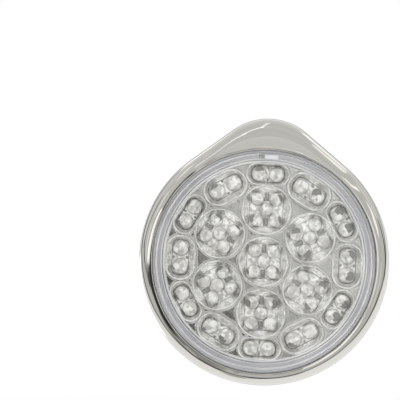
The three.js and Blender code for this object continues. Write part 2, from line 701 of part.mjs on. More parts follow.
/** A pill-shaped button: its face follows the band, a flange behind holds it in, a stem meets the switch. */
function button(angle) {
  const cap = radial(pill(BUTTON_LENGTH, BUTTON_WIDTH), angle, -BAND_TAPER, BUTTON_DEPTH);
  const flangeShape = pill(BUTTON_LENGTH + 2 * BUTTON_FLANGE, BUTTON_WIDTH + 2 * BUTTON_FLANGE);
  const flange = radial(flangeShape, angle, -BAND_TAPER, BUTTON_DEPTH);
  const stem = radial(circle(STEM_RADIUS), angle, BUTTON_DEPTH - OVERRUN, BUTTON_DEPTH + STEM_LENGTH);
  return join(
    common(cap, bandCore(-BUTTON_PROUD)),
    common(flange, bandCore(BAND_WALL + FIT)),
    stem,
  );
}

function switchBody(angle) {
  const body = radial(rectangle(SWITCH_SIZE, SWITCH_SIZE), angle, SWITCH_TOP, SWITCH_BASE);
  const knob = radial(circle(SWITCH_KNOB_RADIUS), angle, KNOB_TOP, SWITCH_BASE - OVERRUN);
  return join(body, knob);
}

function switchBoard(angle) {
  const shape = rectangle(SWITCH_BOARD_LENGTH, SWITCH_BOARD_WIDTH);
  return radial(shape, angle, SWITCH_BASE, SWITCH_BASE + BOARD_THICKNESS);
}

function indicator(angle) {
  return radial(circle(INDICATOR_RADIUS), angle, -INDICATOR_PROUD, INDICATOR_LENGTH);
}

function dcSocket() {
  const bottom = INLET_RECESS + INLET_HEIGHT;
  const body = radial(rectangle(INLET_LENGTH, INLET_WIDTH), INLET_ANGLE, INLET_RECESS, bottom);
  const boreEnd = INLET_RECESS + INLET_BORE_DEPTH;
  const bore = radial(circle(INLET_BORE_RADIUS), INLET_ANGLE, INLET_RECESS - OVERRUN, boreEnd);
  const pin = radial(circle(INLET_PIN_RADIUS), INLET_ANGLE, boreEnd - INLET_PIN_LENGTH, boreEnd + OVERRUN);
  return join(cut(body, bore), pin);
}

// Back: shell, plate, ring handle and hinge

/** The outer line of the lip that enters the shell, a fit inside the shell's inner face. */
function seamLip(depth) {
  const [before, edge] = domeSections(SHELL_WALL, INNER_STEPS - 1, INNER_STEPS);
  const share = (edge.depth - depth) / (edge.depth - before.depth);
  const { lerp } = THREE.MathUtils;
  return at(lerp(edge.radius, before.radius, share) - FIT, depth, lerp(edge.rise, before.rise, share));
}

/** The dome's section at a depth, on its outer face or, with a wall, on its inner one. */
function domeSection(depth, wall) {
  const drop = 1 - Math.cos(DOME_SWEEP);
  const angle = Math.acos(1 - (drop * (depth - wall)) / (SHELL_DEPTH - wall));
  const share = Math.sin(angle) / Math.sin(DOME_SWEEP);
  const radius = SEAT_OUTER_RADIUS + (BAND_REAR_RADIUS - wall - SEAT_OUTER_RADIUS) * share;
  return at(radius, depth, TIP_RISE * share);
}

/** The dome's sections in turn, denser toward the plate where the curve starts. */
function domeSections(wall, first, steps) {
  const sections = [];
  for (let i = first; i <= steps; i += 1) {
    const share = (1 - Math.cos((DOME_SWEEP * i) / steps)) / (1 - Math.cos(DOME_SWEEP));
    sections.push(domeSection(wall + (SHELL_DEPTH - wall) * share, wall));
  }
  return sections;
}

/** Places on the corners of a square round the middle. */
function squarePlaces(offset) {
  return [-1, 1].flatMap((a) => [-1, 1].map((b) => [a * offset, b * offset]));
}

/** Places above, below and on both sides of the middle. */
function crossPlaces(offset) {
  return [[0, offset], [offset, 0], [0, -offset], [-offset, 0]];
}

function rearShell() {
  const shell = eggRing([
    ...domeSections(0, 0, OUTER_STEPS),
    ...domeSections(SHELL_WALL, 1, INNER_STEPS).reverse(),
    at(SEAT_OUTER_RADIUS + SHELL_WALL, SEAT_BACK, 0),
    at(SEAT_INNER_RADIUS, SEAT_BACK, 0),
    at(SEAT_INNER_RADIUS, PLATE_THICKNESS, 0),
    at(SEAT_OUTER_RADIUS, PLATE_THICKNESS, 0),
  ]);
  const posts = squarePlaces(CONTROL_POST_OFFSET).map(([x, z]) => {
    const root = PLATE_THICKNESS + SEAT_THICKNESS / 2;
    const post = bar(CONTROL_POST_RADIUS, x, z, root, CONTROL_BOARD_DEPTH);
    const pilotEnd = CONTROL_BOARD_DEPTH - SCREW_SHANK_LENGTH - FIT;
    return cut(post, bar(SCREW_SHANK_RADIUS + FIT, x, z, pilotEnd, CONTROL_BOARD_DEPTH + OVERRUN));
  });
  const holes = crossPlaces(PLATE_SCREW_OFFSET).map(([x, z]) => {
    return bar(SCREW_SHANK_RADIUS + FIT, x, z, PLATE_THICKNESS - OVERRUN, SEAT_BACK + OVERRUN);
  });
  return cut(join(shell, ...posts), ...holes);
}

function backPlate() {
  const draft = DISH_DRAFT / DISH_DEPTH;
  const disc = washer(0, PLATE_RADIUS, PLATE_THICKNESS, 0);
  const wall = PLATE_THICKNESS;
  const outer = bowl(DISH_HALF_WIDTH + wall, DISH_HALF_HEIGHT + wall, wall / 2, DISH_DEPTH + wall, draft);
  const hollow = bowl(DISH_HALF_WIDTH, DISH_HALF_HEIGHT, -OVERRUN, DISH_DEPTH, draft);
  const holes = crossPlaces(PLATE_SCREW_OFFSET).map(([x, z]) => {
    const end = PLATE_THICKNESS - PLATE_SCREW_BITE - FIT / 2;
    return bar(SCREW_SHANK_RADIUS + FIT, x, z, end, PLATE_THICKNESS + OVERRUN);
  });
  return cut(join(disc, outer), hollow, ...holes);
}

/** Points along an ellipse about the ring's centre, both ends included. */
function ellipseArc(halfWidth, halfHeight, from, to, steps) {
  const points = [];
  for (let i = 0; i <= steps; i += 1) {
    const angle = from + ((to - from) * i) / steps;
    points.push(new THREE.Vector2(halfWidth * Math.cos(angle), halfHeight * Math.sin(angle)));
  }
  return points;
}

/** The ring's outline, drawn in by its bevel: two arms at the top, open between them, and a flat foot. */
function ringShape() {
  const inner = RING_INNER_RADIUS + RING_BEVEL;
  const halfWidth = RING_HALF_WIDTH - RING_BEVEL;
  const [level, topHeight, footHeight] = [RING_HALF_HEIGHT, RING_TOP_ROUND, RING_FOOT_ROUND].map((height) => {
    return height - RING_BEVEL;
  });
  const top = Math.asin(level / topHeight);
  const foot = Math.asin(level / footHeight);
  const armInner = ARM_INNER + RING_BEVEL;
  const mouth = Math.asin(armInner / inner);
  const right = [
    new THREE.Vector2(armInner, level),
    ...ellipseArc(halfWidth, topHeight, top, 0, RING_ARC_STEPS).slice(0, -1),
    ...ellipseArc(halfWidth, footHeight, 0, -foot, RING_ARC_STEPS),
  ];
  const left = right.map(({ x, y }) => new THREE.Vector2(-x, y)).reverse();
  const start = Math.PI / 2 + mouth;
  const bore = ellipseArc(inner, inner, start, start + 2 * (Math.PI - mouth), RING_BORE_STEPS);
  return new THREE.Shape([...right, ...left, ...bore]);
}

function ringHandle() {
  const options = {
    depth: RING_THICKNESS - 2 * RING_BEVEL,
    bevelThickness: RING_BEVEL,
    bevelSize: RING_BEVEL,
    bevelSegments: RING_BEVEL_STEPS,
    curveSegments: ARC_STEPS,
  };
  const ring = new THREE.ExtrudeGeometry(ringShape(), options);
  ring.rotateX(Math.PI / 2).translate(0, RING_PROUD - RING_BEVEL, 0);
  return cut(ring, pinBar(PIN_RADIUS + FIT, PIN_HALF_LENGTH + FIT));
}

/** A round bar on the hinge line. */
function pinBar(radius, halfLength) {
  const pin = new THREE.CylinderGeometry(radius, radius, 2 * halfLength, SMALL_STEPS);
  return pin.rotateZ(Math.PI / 2).translate(0, -HINGE_DEPTH, HINGE_RISE);
}

function hingeKnuckle() {
  const boss = turned([
    [0, DISH_DEPTH],
    [KNUCKLE_RADIUS, DISH_DEPTH],
    [KNUCKLE_RADIUS, KNUCKLE_EDGE_RADIUS - KNUCKLE_PROUD],
    [KNUCKLE_RADIUS - KNUCKLE_EDGE_RADIUS, -KNUCKLE_PROUD],
    [0, -KNUCKLE_PROUD],
  ], 2 * SMALL_STEPS);
  boss.translate(0, 0, KNUCKLE_RISE);
  return cut(boss, pinBar(PIN_RADIUS + FIT, KNUCKLE_RADIUS + OVERRUN));
}

// Control electronics

function controlBoard() {
  const side = 2 * (CONTROL_POST_OFFSET + CONTROL_BOARD_MARGIN);
  const board = slab(rectangle(side, side), CONTROL_BOARD_DEPTH, CONTROL_BOARD_FRONT);
  const holes = squarePlaces(CONTROL_POST_OFFSET).map(([x, z]) => {
    return bar(SCREW_SHANK_RADIUS + FIT, x, z, CONTROL_BOARD_DEPTH - OVERRUN, CONTROL_BOARD_FRONT + OVERRUN);
  });
  return cut(board, ...holes);
}

function connector(rise, from, to) {
  return slab(rectangle(CONNECTOR_LENGTH, CONNECTOR_WIDTH, 0, rise), from, to);
}

/** A flat cable between the boards' connectors, with one step up on its way forward. */
function ribbonCable() {
  const start = CONTROL_BOARD_FRONT + CONNECTOR_HEIGHT + FIT;
  const end = BOARD_BACK - CONNECTOR_HEIGHT - FIT;
  const lead = (end - start) * CABLE_LEAD_SHARE;
  const half = CABLE_THICKNESS / 2;
  const low = CONNECTOR_RISE;
  const high = CONNECTOR_RISE + CABLE_JOG;
  const shape = new THREE.Shape([
    new THREE.Vector2(start, low - half),
    new THREE.Vector2(start + lead + half, low - half),
    new THREE.Vector2(end - lead + half, high - half),
    new THREE.Vector2(end, high - half),
    new THREE.Vector2(end, high + half),
    new THREE.Vector2(end - lead - half, high + half),
    new THREE.Vector2(start + lead - half, low + half),
    new THREE.Vector2(start, low + half),
  ]);
  const strip = new THREE.ExtrudeGeometry(shape, { depth: CABLE_WIDTH, bevelEnabled: false });
  return strip.translate(0, 0, -CABLE_WIDTH / 2).applyMatrix4(new THREE.Matrix4().set(
    0, 0, 1, 0,
    -1, 0, 0, 0,
    0, 1, 0, 0,
    0, 0, 0, 1,
  ));
}

// Finishes: colour, roughness, metalness
const CHROME = [0xc6c2ba, 0.12, 1];
const MIRROR = [0xe2e2e2, 0.15, 1];
const CLEAR = [0xdfe4e6, 0.08, 0];
const LAMP = [0xd8d8d2, 0.2, 0];
const BLUE_GREY = [0xa9a9b3, 0.35, 0.2];
const SATIN_SILVER = [0xd2d3d5, 0.35, 0.8];
const DARK_SATIN = [0x5b5c61, 0.42, 0.3];
const WHITE = [0xe6e8e9, 0.4, 0];
const BEIGE = [0xded9d3, 0.45, 0];
const BLACK = [0x1d1d1f, 0.5, 0];
const BOARD_GREEN = [0x1f5a3c, 0.5, 0];
const STEEL = [0xb9bbbd, 0.3, 1];
const RUBBER = [0x3a3a3c, 0.8, 0];

function frontMeshes() {
  const chosen = [
    mesh('front_bezel', frontBezel(), CHROME),
    mesh('lens_cover', lensCover(), CLEAR),
    mesh('lens_gasket', lensGasket(), RUBBER),
    mesh('trim_ring', trimRing(), BLUE_GREY),
    mesh('reflector', reflector(), MIRROR),
    mesh('led_board', washer(0, BOARD_RADIUS, BOARD_FRONT, BOARD_BACK), BOARD_GREEN),
    mesh('clamp_ring', clampRing(), STEEL),
  ];
  const bossPlaces = BEZEL_BOSS_ANGLES.map((a) => [BOSS_OFFSET * Math.sin(a), BOSS_OFFSET * Math.cos(a)]);
  return [
    ...chosen,
    ...lampMeshes('lamp_group', roundLampGroup(), roundCells(), LAMP),
    ...lampMeshes('lamp_pair', lampPair(), rimCells(), LAMP),
    ...screwMeshes('clamp_screw', screw(CLAMP_BACK, SCREW_SHANK_LENGTH), bossPlaces, STEEL),
  ];
}

function sideMeshes() {
  const pieces = [
    mesh('side_band', sideBand(), SATIN_SILVER),
    mesh('dc_socket', dcSocket(), BLACK),
  ];
  for (const [name, angle] of Object.entries(BUTTON_ANGLES)) {
    pieces.push(mesh(`${name}_button`, button(angle), SATIN_SILVER));
    pieces.push(mesh(`${name}_switch`, switchBody(angle), BLACK));
    pieces.push(mesh(`${name}_switch_board`, switchBoard(angle), BOARD_GREEN));
  }
  for (const [name, angle] of Object.entries(INDICATOR_ANGLES)) {
    pieces.push(mesh(`${name}_indicator`, indicator(angle), BLACK));
  }
  return pieces;
}

function backMeshes() {
  return [
    mesh('rear_shell', rearShell(), DARK_SATIN),
    mesh('back_plate', backPlate(), WHITE),
    mesh('ring_handle', ringHandle(), CHROME),
    mesh('hinge_knuckle', hingeKnuckle(), BEIGE),
    mesh('hinge_pin', pinBar(PIN_RADIUS, PIN_HALF_LENGTH), STEEL),
    ...screwMeshes(
      'plate_screw',
      rearwardScrew(SEAT_BACK, SEAT_THICKNESS + PLATE_SCREW_BITE),
      crossPlaces(PLATE_SCREW_OFFSET),
      STEEL,
    ),
  ];
}

function controlMeshes() {
  const lampConnectorRise = CONNECTOR_RISE + CABLE_JOG;
  const chip = rectangle(CHIP_SIZE, CHIP_SIZE, 0, CHIP_RISE);
  const buzzerFrom = CONTROL_BOARD_DEPTH - BUZZER_HEIGHT;
  return [
    mesh('control_board', controlBoard(), BOARD_GREEN),
    mesh('controller_chip', slab(chip, CONTROL_BOARD_FRONT, CONTROL_BOARD_FRONT + CHIP_HEIGHT), BLACK),
    mesh('buzzer', bar(BUZZER_RADIUS, BUZZER_OFFSET, -BUZZER_OFFSET, buzzerFrom, CONTROL_BOARD_DEPTH), BLACK),
    mesh('control_connector', connector(CONNECTOR_RISE, CONTROL_BOARD_FRONT, CONTROL_BOARD_FRONT
      + CONNECTOR_HEIGHT), WHITE),
    mesh('lamp_connector', connector(lampConnectorRise, BOARD_BACK - CONNECTOR_HEIGHT, BOARD_BACK), WHITE),
    mesh('ribbon_cable', ribbonCable(), WHITE),
    ...screwMeshes(
      'board_screw',
      rearwardScrew(CONTROL_BOARD_FRONT, BOARD_THICKNESS + SCREW_SHANK_LENGTH - FIT),
      squarePlaces(CONTROL_POST_OFFSET),
      STEEL,
    ),
  ];
}

const device = new THREE.Group();
device.name = 'led_facial_device';
device.add(...frontMeshes(), ...sideMeshes(), ...backMeshes(), ...controlMeshes());

export default device;
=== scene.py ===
"""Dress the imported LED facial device: fine surfaces, finishes, studio and camera.

The lamps face -Y, the back plate faces +Y and the tip points up +Z. A depth is the distance in front of the
back plate's outer face, so y is minus the depth. A place in the front view is x to the right and z upward.
Sizes are in millimetres, and meshes are turned into metres where they are made.
"""

from __future__ import annotations

import logging
import math
from dataclasses import dataclass, field
from enum import Enum
from functools import cache
from itertools import product
from typing import NamedTuple

import bmesh
import bpy
import numpy as np
from mathutils import Matrix, Vector
from mathutils.geometry import delaunay_2d_cdt

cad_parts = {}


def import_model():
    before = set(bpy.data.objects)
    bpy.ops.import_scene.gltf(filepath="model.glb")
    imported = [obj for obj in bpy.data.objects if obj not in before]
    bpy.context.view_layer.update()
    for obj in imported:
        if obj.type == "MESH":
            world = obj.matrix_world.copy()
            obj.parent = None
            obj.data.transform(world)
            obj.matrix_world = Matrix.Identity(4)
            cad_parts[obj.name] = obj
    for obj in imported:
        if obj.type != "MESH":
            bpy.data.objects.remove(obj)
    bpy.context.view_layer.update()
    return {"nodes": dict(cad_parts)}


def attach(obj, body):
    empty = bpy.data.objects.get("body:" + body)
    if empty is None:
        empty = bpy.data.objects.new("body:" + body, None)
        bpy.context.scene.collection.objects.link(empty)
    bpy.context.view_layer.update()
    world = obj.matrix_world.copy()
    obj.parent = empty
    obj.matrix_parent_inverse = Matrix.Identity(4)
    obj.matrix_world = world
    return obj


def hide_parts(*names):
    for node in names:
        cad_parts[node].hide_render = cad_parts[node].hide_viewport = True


LOG = logging.getLogger("led_facial_device")
MM = 0.001
FULL_TURN = 2 * math.pi

Colour = tuple[float, float, float]
Place = tuple[float, float, float]
Pair = tuple[float, float]
Kinds = dict[str, str]
Loops = list[np.ndarray]
Faces = list[tuple[int, ...]]
Rows = list[tuple[float, ...]]
Piece = bpy.types.Object
Mesh = bpy.types.Mesh
Node = bpy.types.Node
Socket = bpy.types.NodeSocket
Tree = bpy.types.NodeTree


class Body(Enum):
    """The device's moving bodies."""

    HOUSING = "housing"
    RING = "ring"
    POWER_KEY = "power_key"
    MODE_KEY = "mode_key"


class Slot(Enum):
    """The record's material slots."""

    CHROME = "chrome_plating"
    LENS = "clear_lens"
    SEAL = "seal_rubber"
    TRIM = "blue_grey_trim"
    MIRROR = "mirror_coating"
    LAMP = "clear_lamp"
    SATIN_SILVER = "satin_silver"
    DARK_SATIN = "dark_satin"
    WHITE = "white_plate"
    BEIGE = "beige_satin"
    BLACK = "black_plastic"
    BOARD = "circuit_board"
    STEEL = "steel"


# Nodes, groups and finishes


def linear(colour: Colour) -> tuple[float, ...]:
    """Linear light with its alpha, from a display colour between 0 and 255."""
    shares = [c / 255 for c in colour]
    return (*[s / 12.92 if s <= 0.04045 else ((s + 0.055) / 1.055) ** 2.4 for s in shares], 1.0)


class Graph:
    """Adds nodes to one tree, sets their sockets and links them."""

    def __init__(self, tree: Tree) -> None:
        """Keep the tree that the nodes go into."""
        self.tree = tree

    def link(self, value: object, socket: Socket) -> None:
        """Link an output to a socket, or set the socket.

        Args:
            value: the output or the value.
            socket: the input.
        """
        if isinstance(value, Socket):
            self.tree.links.new(value, socket)
        else:
            socket.default_value = value

    def add(self, kind: str, sockets: dict[str | int, object] | None = None, **settings: object) -> Node:
        """Add one node.

        Args:
            kind: Blender's name of the node type, without ShaderNode where it starts so.
            sockets: for each input, by name or number, a value or an output to link.
            settings: the node's own properties.

        Returns:
            The node.
        """
        node = self.tree.nodes.new(kind if "Node" in kind else f"ShaderNode{kind}")
        for name, value in settings.items():
            setattr(node, name, value)
        for key, value in (sockets or {}).items():
            self.link(value, node.inputs[key])
        return node

    def out(
        self, kind: str, sockets: dict | None = None, output: str | int = 0, **settings: object
    ) -> Socket:
        """One output of a new node, with its sockets and properties set."""
        return self.add(kind, sockets, **settings).outputs[output]

    def math(self, operation: str, *values: object, clamp: bool = False) -> Socket:
        """The result of a Math operation on numbers or outputs, kept between 0 and 1 where clamp says so."""
        return self.out("Math", dict(enumerate(values)), operation=operation, use_clamp=clamp)

    def vector(self, operation: str, *values: object) -> Socket:
        """The result of a Vector Math operation, a number for a length or a dot product."""
        output = "Value" if operation in ("LENGTH", "DOT_PRODUCT") else 0
        return self.out("VectorMath", dict(enumerate(values)), output, operation=operation)

    def step(
        self, value: Socket, low: float, high: float, to_low: float = 0.0, to_high: float = 1.0
    ) -> Socket:
        """A smooth step from to_low to to_high while a value goes from low to high."""
        sockets = {"Value": value, "From Min": low, "From Max": high, "To Min": to_low, "To Max": to_high}
        return self.out("MapRange", sockets, interpolation_type="SMOOTHSTEP")

    def noise(self, place: Socket, scale: object, detail: float = 2.0, distortion: float = 0.0) -> Socket:
        """Soft noise from 0 to 1."""
        sockets = {"Vector": place, "Scale": scale, "Detail": detail, "Distortion": distortion}
        return self.out("TexNoise", sockets)

    def mix(self, share: object, first: object, second: object) -> Socket:
        """Two colours mixed by the share of the second."""
        return self.out("Mix", {0: share, 6: first, 7: second}, 2, data_type="RGBA")


def numbers(*names: str) -> Kinds:
    """Number sockets for a node group, by name."""
    return dict.fromkeys(names, "Float")


def start_tree(name: str, kind: str, inputs: Kinds, outputs: Kinds) -> tuple[Graph, object, object]:
    """Make an empty node group with its sockets.

    Args:
        name: its name.
        kind: Shader or Geometry.
        inputs: socket types by input name.
        outputs: socket types by output name.

    Returns:
        A graph for the group, what its inputs give, and the sockets of its outputs.
    """
    tree = bpy.data.node_groups.new(name, f"{kind}NodeTree")
    for side, sockets in (("INPUT", inputs), ("OUTPUT", outputs)):
        for socket, form in sockets.items():
            tree.interface.new_socket(name=socket, in_out=side, socket_type=f"NodeSocket{form}")
    graph = Graph(tree)
    return graph, graph.add("NodeGroupInput").outputs, graph.add("NodeGroupOutput").inputs


class SharedEffects:
    """Shader node groups that several finishes place, each built once."""

    @staticmethod
    @cache
    def tone() -> Tree:
        """Cloudy change between two close colours, with a lighter line along sharp convex edges, partly wear
        and partly a painted highlight.

        Returns:
            The group, with the output Colour.
        """
        inputs = dict.fromkeys(("Colour", "Cloud", "Edge"), "Color") | numbers("Cloud Scale", "Edge Amount")
        graph, given, result = start_tree("surface_tone", "Shader", inputs, {"Colour": "Color"})
        place = graph.out("TexCoord", output="Object")
        patch = graph.step(graph.noise(place, given["Cloud Scale"], 3.0), 0.38, 0.66)
        broken = graph.step(graph.noise(place, 420.0, 4.0), 0.42, 0.62)
        # sharp convex edges, found by pointiness, take the lighter edge colour: partly wear, partly a
        # painted highlight
        point = graph.out("NewGeometry", output="Pointiness")
        edge = graph.math("MULTIPLY", graph.step(point, 0.53, 0.6), broken)
        edge = graph.math("MULTIPLY", edge, given["Edge Amount"], clamp=True)
        toned = graph.mix(patch, given["Colour"], given["Cloud"])
        graph.link(graph.mix(edge, toned, given["Edge"]), result["Colour"])
        return graph.tree

    @staticmethod
    @cache
    def handling() -> Tree:
        """Roughness of a handled surface: broad soft smears and fine dust.

        Returns:
            The group, with the output Gloss.
        """
        inputs = numbers("Roughness", "Smeared", "Smear Scale")
        graph, given, result = start_tree("handled_gloss", "Shader", inputs, numbers("Gloss"))
        place = graph.out("TexCoord", output="Object")
        smear = graph.step(graph.noise(place, given["Smear Scale"], 5.0, 0.6), 0.44, 0.7)
        dust = graph.step(graph.noise(place, 1600.0), 0.55, 0.75)
        share = graph.math("MULTIPLY_ADD", smear, 0.85, graph.math("MULTIPLY", dust, 0.15))
        spread = graph.math("SUBTRACT", given["Smeared"], given["Roughness"])
        graph.link(graph.math("MULTIPLY_ADD", share, spread, given["Roughness"]), result["Gloss"])
        return graph.tree

    @staticmethod
    @cache
    def relief() -> Tree:
        """Height of a moulded, sprayed or plated skin: slow waves under a fine grain.

        Returns:
            The group, with the output Height.
        """
        inputs = numbers("Wave Scale", "Grain Scale", "Grain Share")
        graph, given, result = start_tree("skin_relief", "Shader", inputs, numbers("Height"))
        place = graph.out("TexCoord", output="Object")
        wave = graph.noise(place, given["Wave Scale"], 1.0)
        grain = graph.noise(place, given["Grain Scale"], 3.0)
        graph.link(graph.math("MULTIPLY_ADD", grain, given["Grain Share"], wave), result["Height"])
        return graph.tree


@dataclass(frozen=True)
class Finish:
    """A procedural finish over a Principled surface; colours are display values from 0 to 255."""

    name: str
    slot: Slot
    colour: Colour
    cloud: Colour
    # the edge colour, lighter than the body in every finish: partly wear, partly a painted highlight along
    # sharp edges
    edge: Colour
    roughness: float
    smeared: float
    relief: float = 0.1
    metallic: float = 0.0
    coat: float = 0.0
    coat_roughness: float = 0.1
    edge_amount: float = 0.5
    cloud_scale: float = 18.0
    smear_scale: float = 30.0
    wave_scale: float = 60.0
    grain_scale: float = 1800.0
    grain_share: float = 0.3
    relief_height: float = 0.0002

    @cache
    def material(self) -> bpy.types.Material:
        """Build the material, the first time that it is asked for.

        Returns:
            The material.
        """
        made = bpy.data.materials.new(self.name)
        made.use_nodes = True
        self.build(Graph(made.node_tree), made.node_tree.nodes["Principled BSDF"])
        return made

    def build(self, graph: Graph, surface: Node) -> None:
        """Place the shared effects, with this finish's own values, and lead them to the surface.

        Args:
            graph: the tree.
            surface: its Principled node.
        """
        values = {name.replace("_", " ").title(): value for name, value in vars(self).items()}
        values |= {name: linear(values[name]) for name in ("Colour", "Cloud", "Edge")}
        effects = []
        for tree in (SharedEffects.tone(), SharedEffects.handling(), SharedEffects.relief()):
            node = graph.add("Group", node_tree=tree)
            for socket in node.inputs:
                socket.default_value = values[socket.name]
            effects.append(node.outputs[0])
        colour, gloss, height = effects
        bump = graph.out("Bump", {"Height": height, "Strength": self.relief, "Distance": self.relief_height})
        sockets = {
            "Base Color": self.tint(graph, colour), "Roughness": gloss, "Metallic": self.metallic,
            "Coat Weight": self.coat, "Coat Roughness": self.coat_roughness, "Normal": bump}
        for name, value in sockets.items():
            graph.link(value, surface.inputs[name])

    def tint(self, graph: Graph, colour: Socket) -> Socket:
        """Change the colour before it reaches the surface; plain finishes leave it."""
        return colour


@dataclass(frozen=True)
class LensFinish(Finish):
    """Clear moulded glass that lets the lamps' light and the studio's reach what lies behind it."""

    ior: float = 1.49

    def build(self, graph: Graph, surface: Node) -> None:
        """Add transmission, and let shadow, diffuse and glossy rays pass straight through.

        Args:
            graph: the tree.
            surface: its Principled node.
        """
        super().build(graph, surface)
        surface.inputs["Transmission Weight"].default_value = 1.0
        surface.inputs["IOR"].default_value = self.ior
        path = graph.add("LightPath").outputs
        passing = graph.math("MAXIMUM", path["Is Shadow Ray"], path["Is Diffuse Ray"])
        passing = graph.math("MAXIMUM", passing, path["Is Glossy Ray"])
        mixed = graph.out("MixShader", {0: passing, 1: surface.outputs[0], 2: graph.out("BsdfTransparent")})
        graph.link(mixed, graph.tree.nodes["Material Output"].inputs["Surface"])


@dataclass(frozen=True)
class LampFinish(Finish):
    """Milky clear lamp: a darker die seen under the crown, a painted shade over one side and a painted
    shaded ring where the dome turns away.
    """

    die: Colour = (128, 124, 118)
    # colour of the painted shade over one side of each lamp
    shade: Colour = (104, 103, 99)
    # grey of flecks, rings and facets, and of the painted shaded ring at the outer turn
    turn: Colour = (160, 159, 155)

    def tint(self, graph: Graph, colour: Socket) -> Socket:
        """Darken a spot under the crown, and paint shade over one side and round the outer turn.

        Args:
            graph: the tree.
            colour: the colour so far.

        Returns:
            The changed colour.
        """
        place = graph.out("Attribute", output="Vector", attribute_name="axis_place")
        way = graph.out("Attribute", output="Vector", attribute_name="shade_way")
        cut = graph.out("SeparateXYZ", {0: way}, 2)
        share = graph.vector("LENGTH", place)
        wander = graph.out("TexCoord", output="Object")
        noise = graph.noise(wander, 420.0)
        fleck = graph.noise(wander, 1300.0)
        chance = graph.noise(wander, 75.0, 0.0)
        # the shaded side: painted shade, cut off by a noisy line
        side = graph.vector("DOT_PRODUCT", place, way)
        bent = graph.math("MULTIPLY_ADD", graph.math("SUBTRACT", noise, 0.5), 0.75, side)
        shaded = graph.step(graph.math("SUBTRACT", bent, cut), 0.0, 0.06, 0.0, 0.9)
        inner = graph.vector("LENGTH", graph.vector("MULTIPLY_ADD", way, (-0.36, -0.36, 0.0), place))
        shaded = graph.math("MULTIPLY", shaded, graph.step(inner, 0.58, 0.68, 1.0, 0.15))
        spot = graph.vector("LENGTH", graph.vector("MULTIPLY_ADD", way, (0.38, 0.38, 0.0), place))
        marked = graph.step(spot, 0.08, 0.24, 0.55, 0.0)
        marked = graph.math("MULTIPLY", marked, graph.step(chance, 0.5, 0.56))
        wave = graph.math("MULTIPLY", graph.math("MULTIPLY_ADD", noise, 0.4, share), 30.0)
        facet = graph.out("TexVoronoi", {"Vector": wander, "Scale": 330.0}, "Color")
        facet = graph.step(graph.out("SeparateColor", {0: facet}), 0.62, 0.65)
        for amount, tone in (
            (graph.step(fleck, 0.5, 0.66, 0.0, 0.4), self.turn),
            (graph.step(graph.math("SINE", wave), 0.2, 0.9, 0.0, 0.25), self.turn),
            (graph.math("MULTIPLY", facet, 0.62), self.turn),
            (marked, self.die),
            # painted shade over one side, then a painted shaded ring round the outer turn
            (shaded, self.shade),
            (graph.step(share, 0.84, 0.97, 0.0, 0.3), self.turn),
        ):
            colour = graph.mix(amount, colour, linear(tone))
        return colour


@dataclass(frozen=True)
class BoardFinish(Finish):
    """Circuit board lacquer over paler copper runs."""

    run: Colour = (66, 128, 86)

    def tint(self, graph: Graph, colour: Socket) -> Socket:
        """Draw a grid of runs that breaks off at random.

        Args:
            graph: the tree.
            colour: the colour so far.

        Returns:
            The changed colour.
        """
        place = graph.out("TexCoord", output="Object")
        flat = graph.out("Mapping", {"Vector": place, "Rotation": (math.pi / 2, 0.0, 0.0)})
        grid = {"Vector": flat, "Scale": 260.0, "Mortar Size": 0.035, "Brick Width": 1.6, "Row Height": 0.4}
        gate = graph.step(graph.noise(place, 60.0), 0.48, 0.52)
        share = graph.math("MULTIPLY", graph.out("TexBrick", grid, "Fac"), gate)
        return graph.mix(share, colour, linear(self.run))


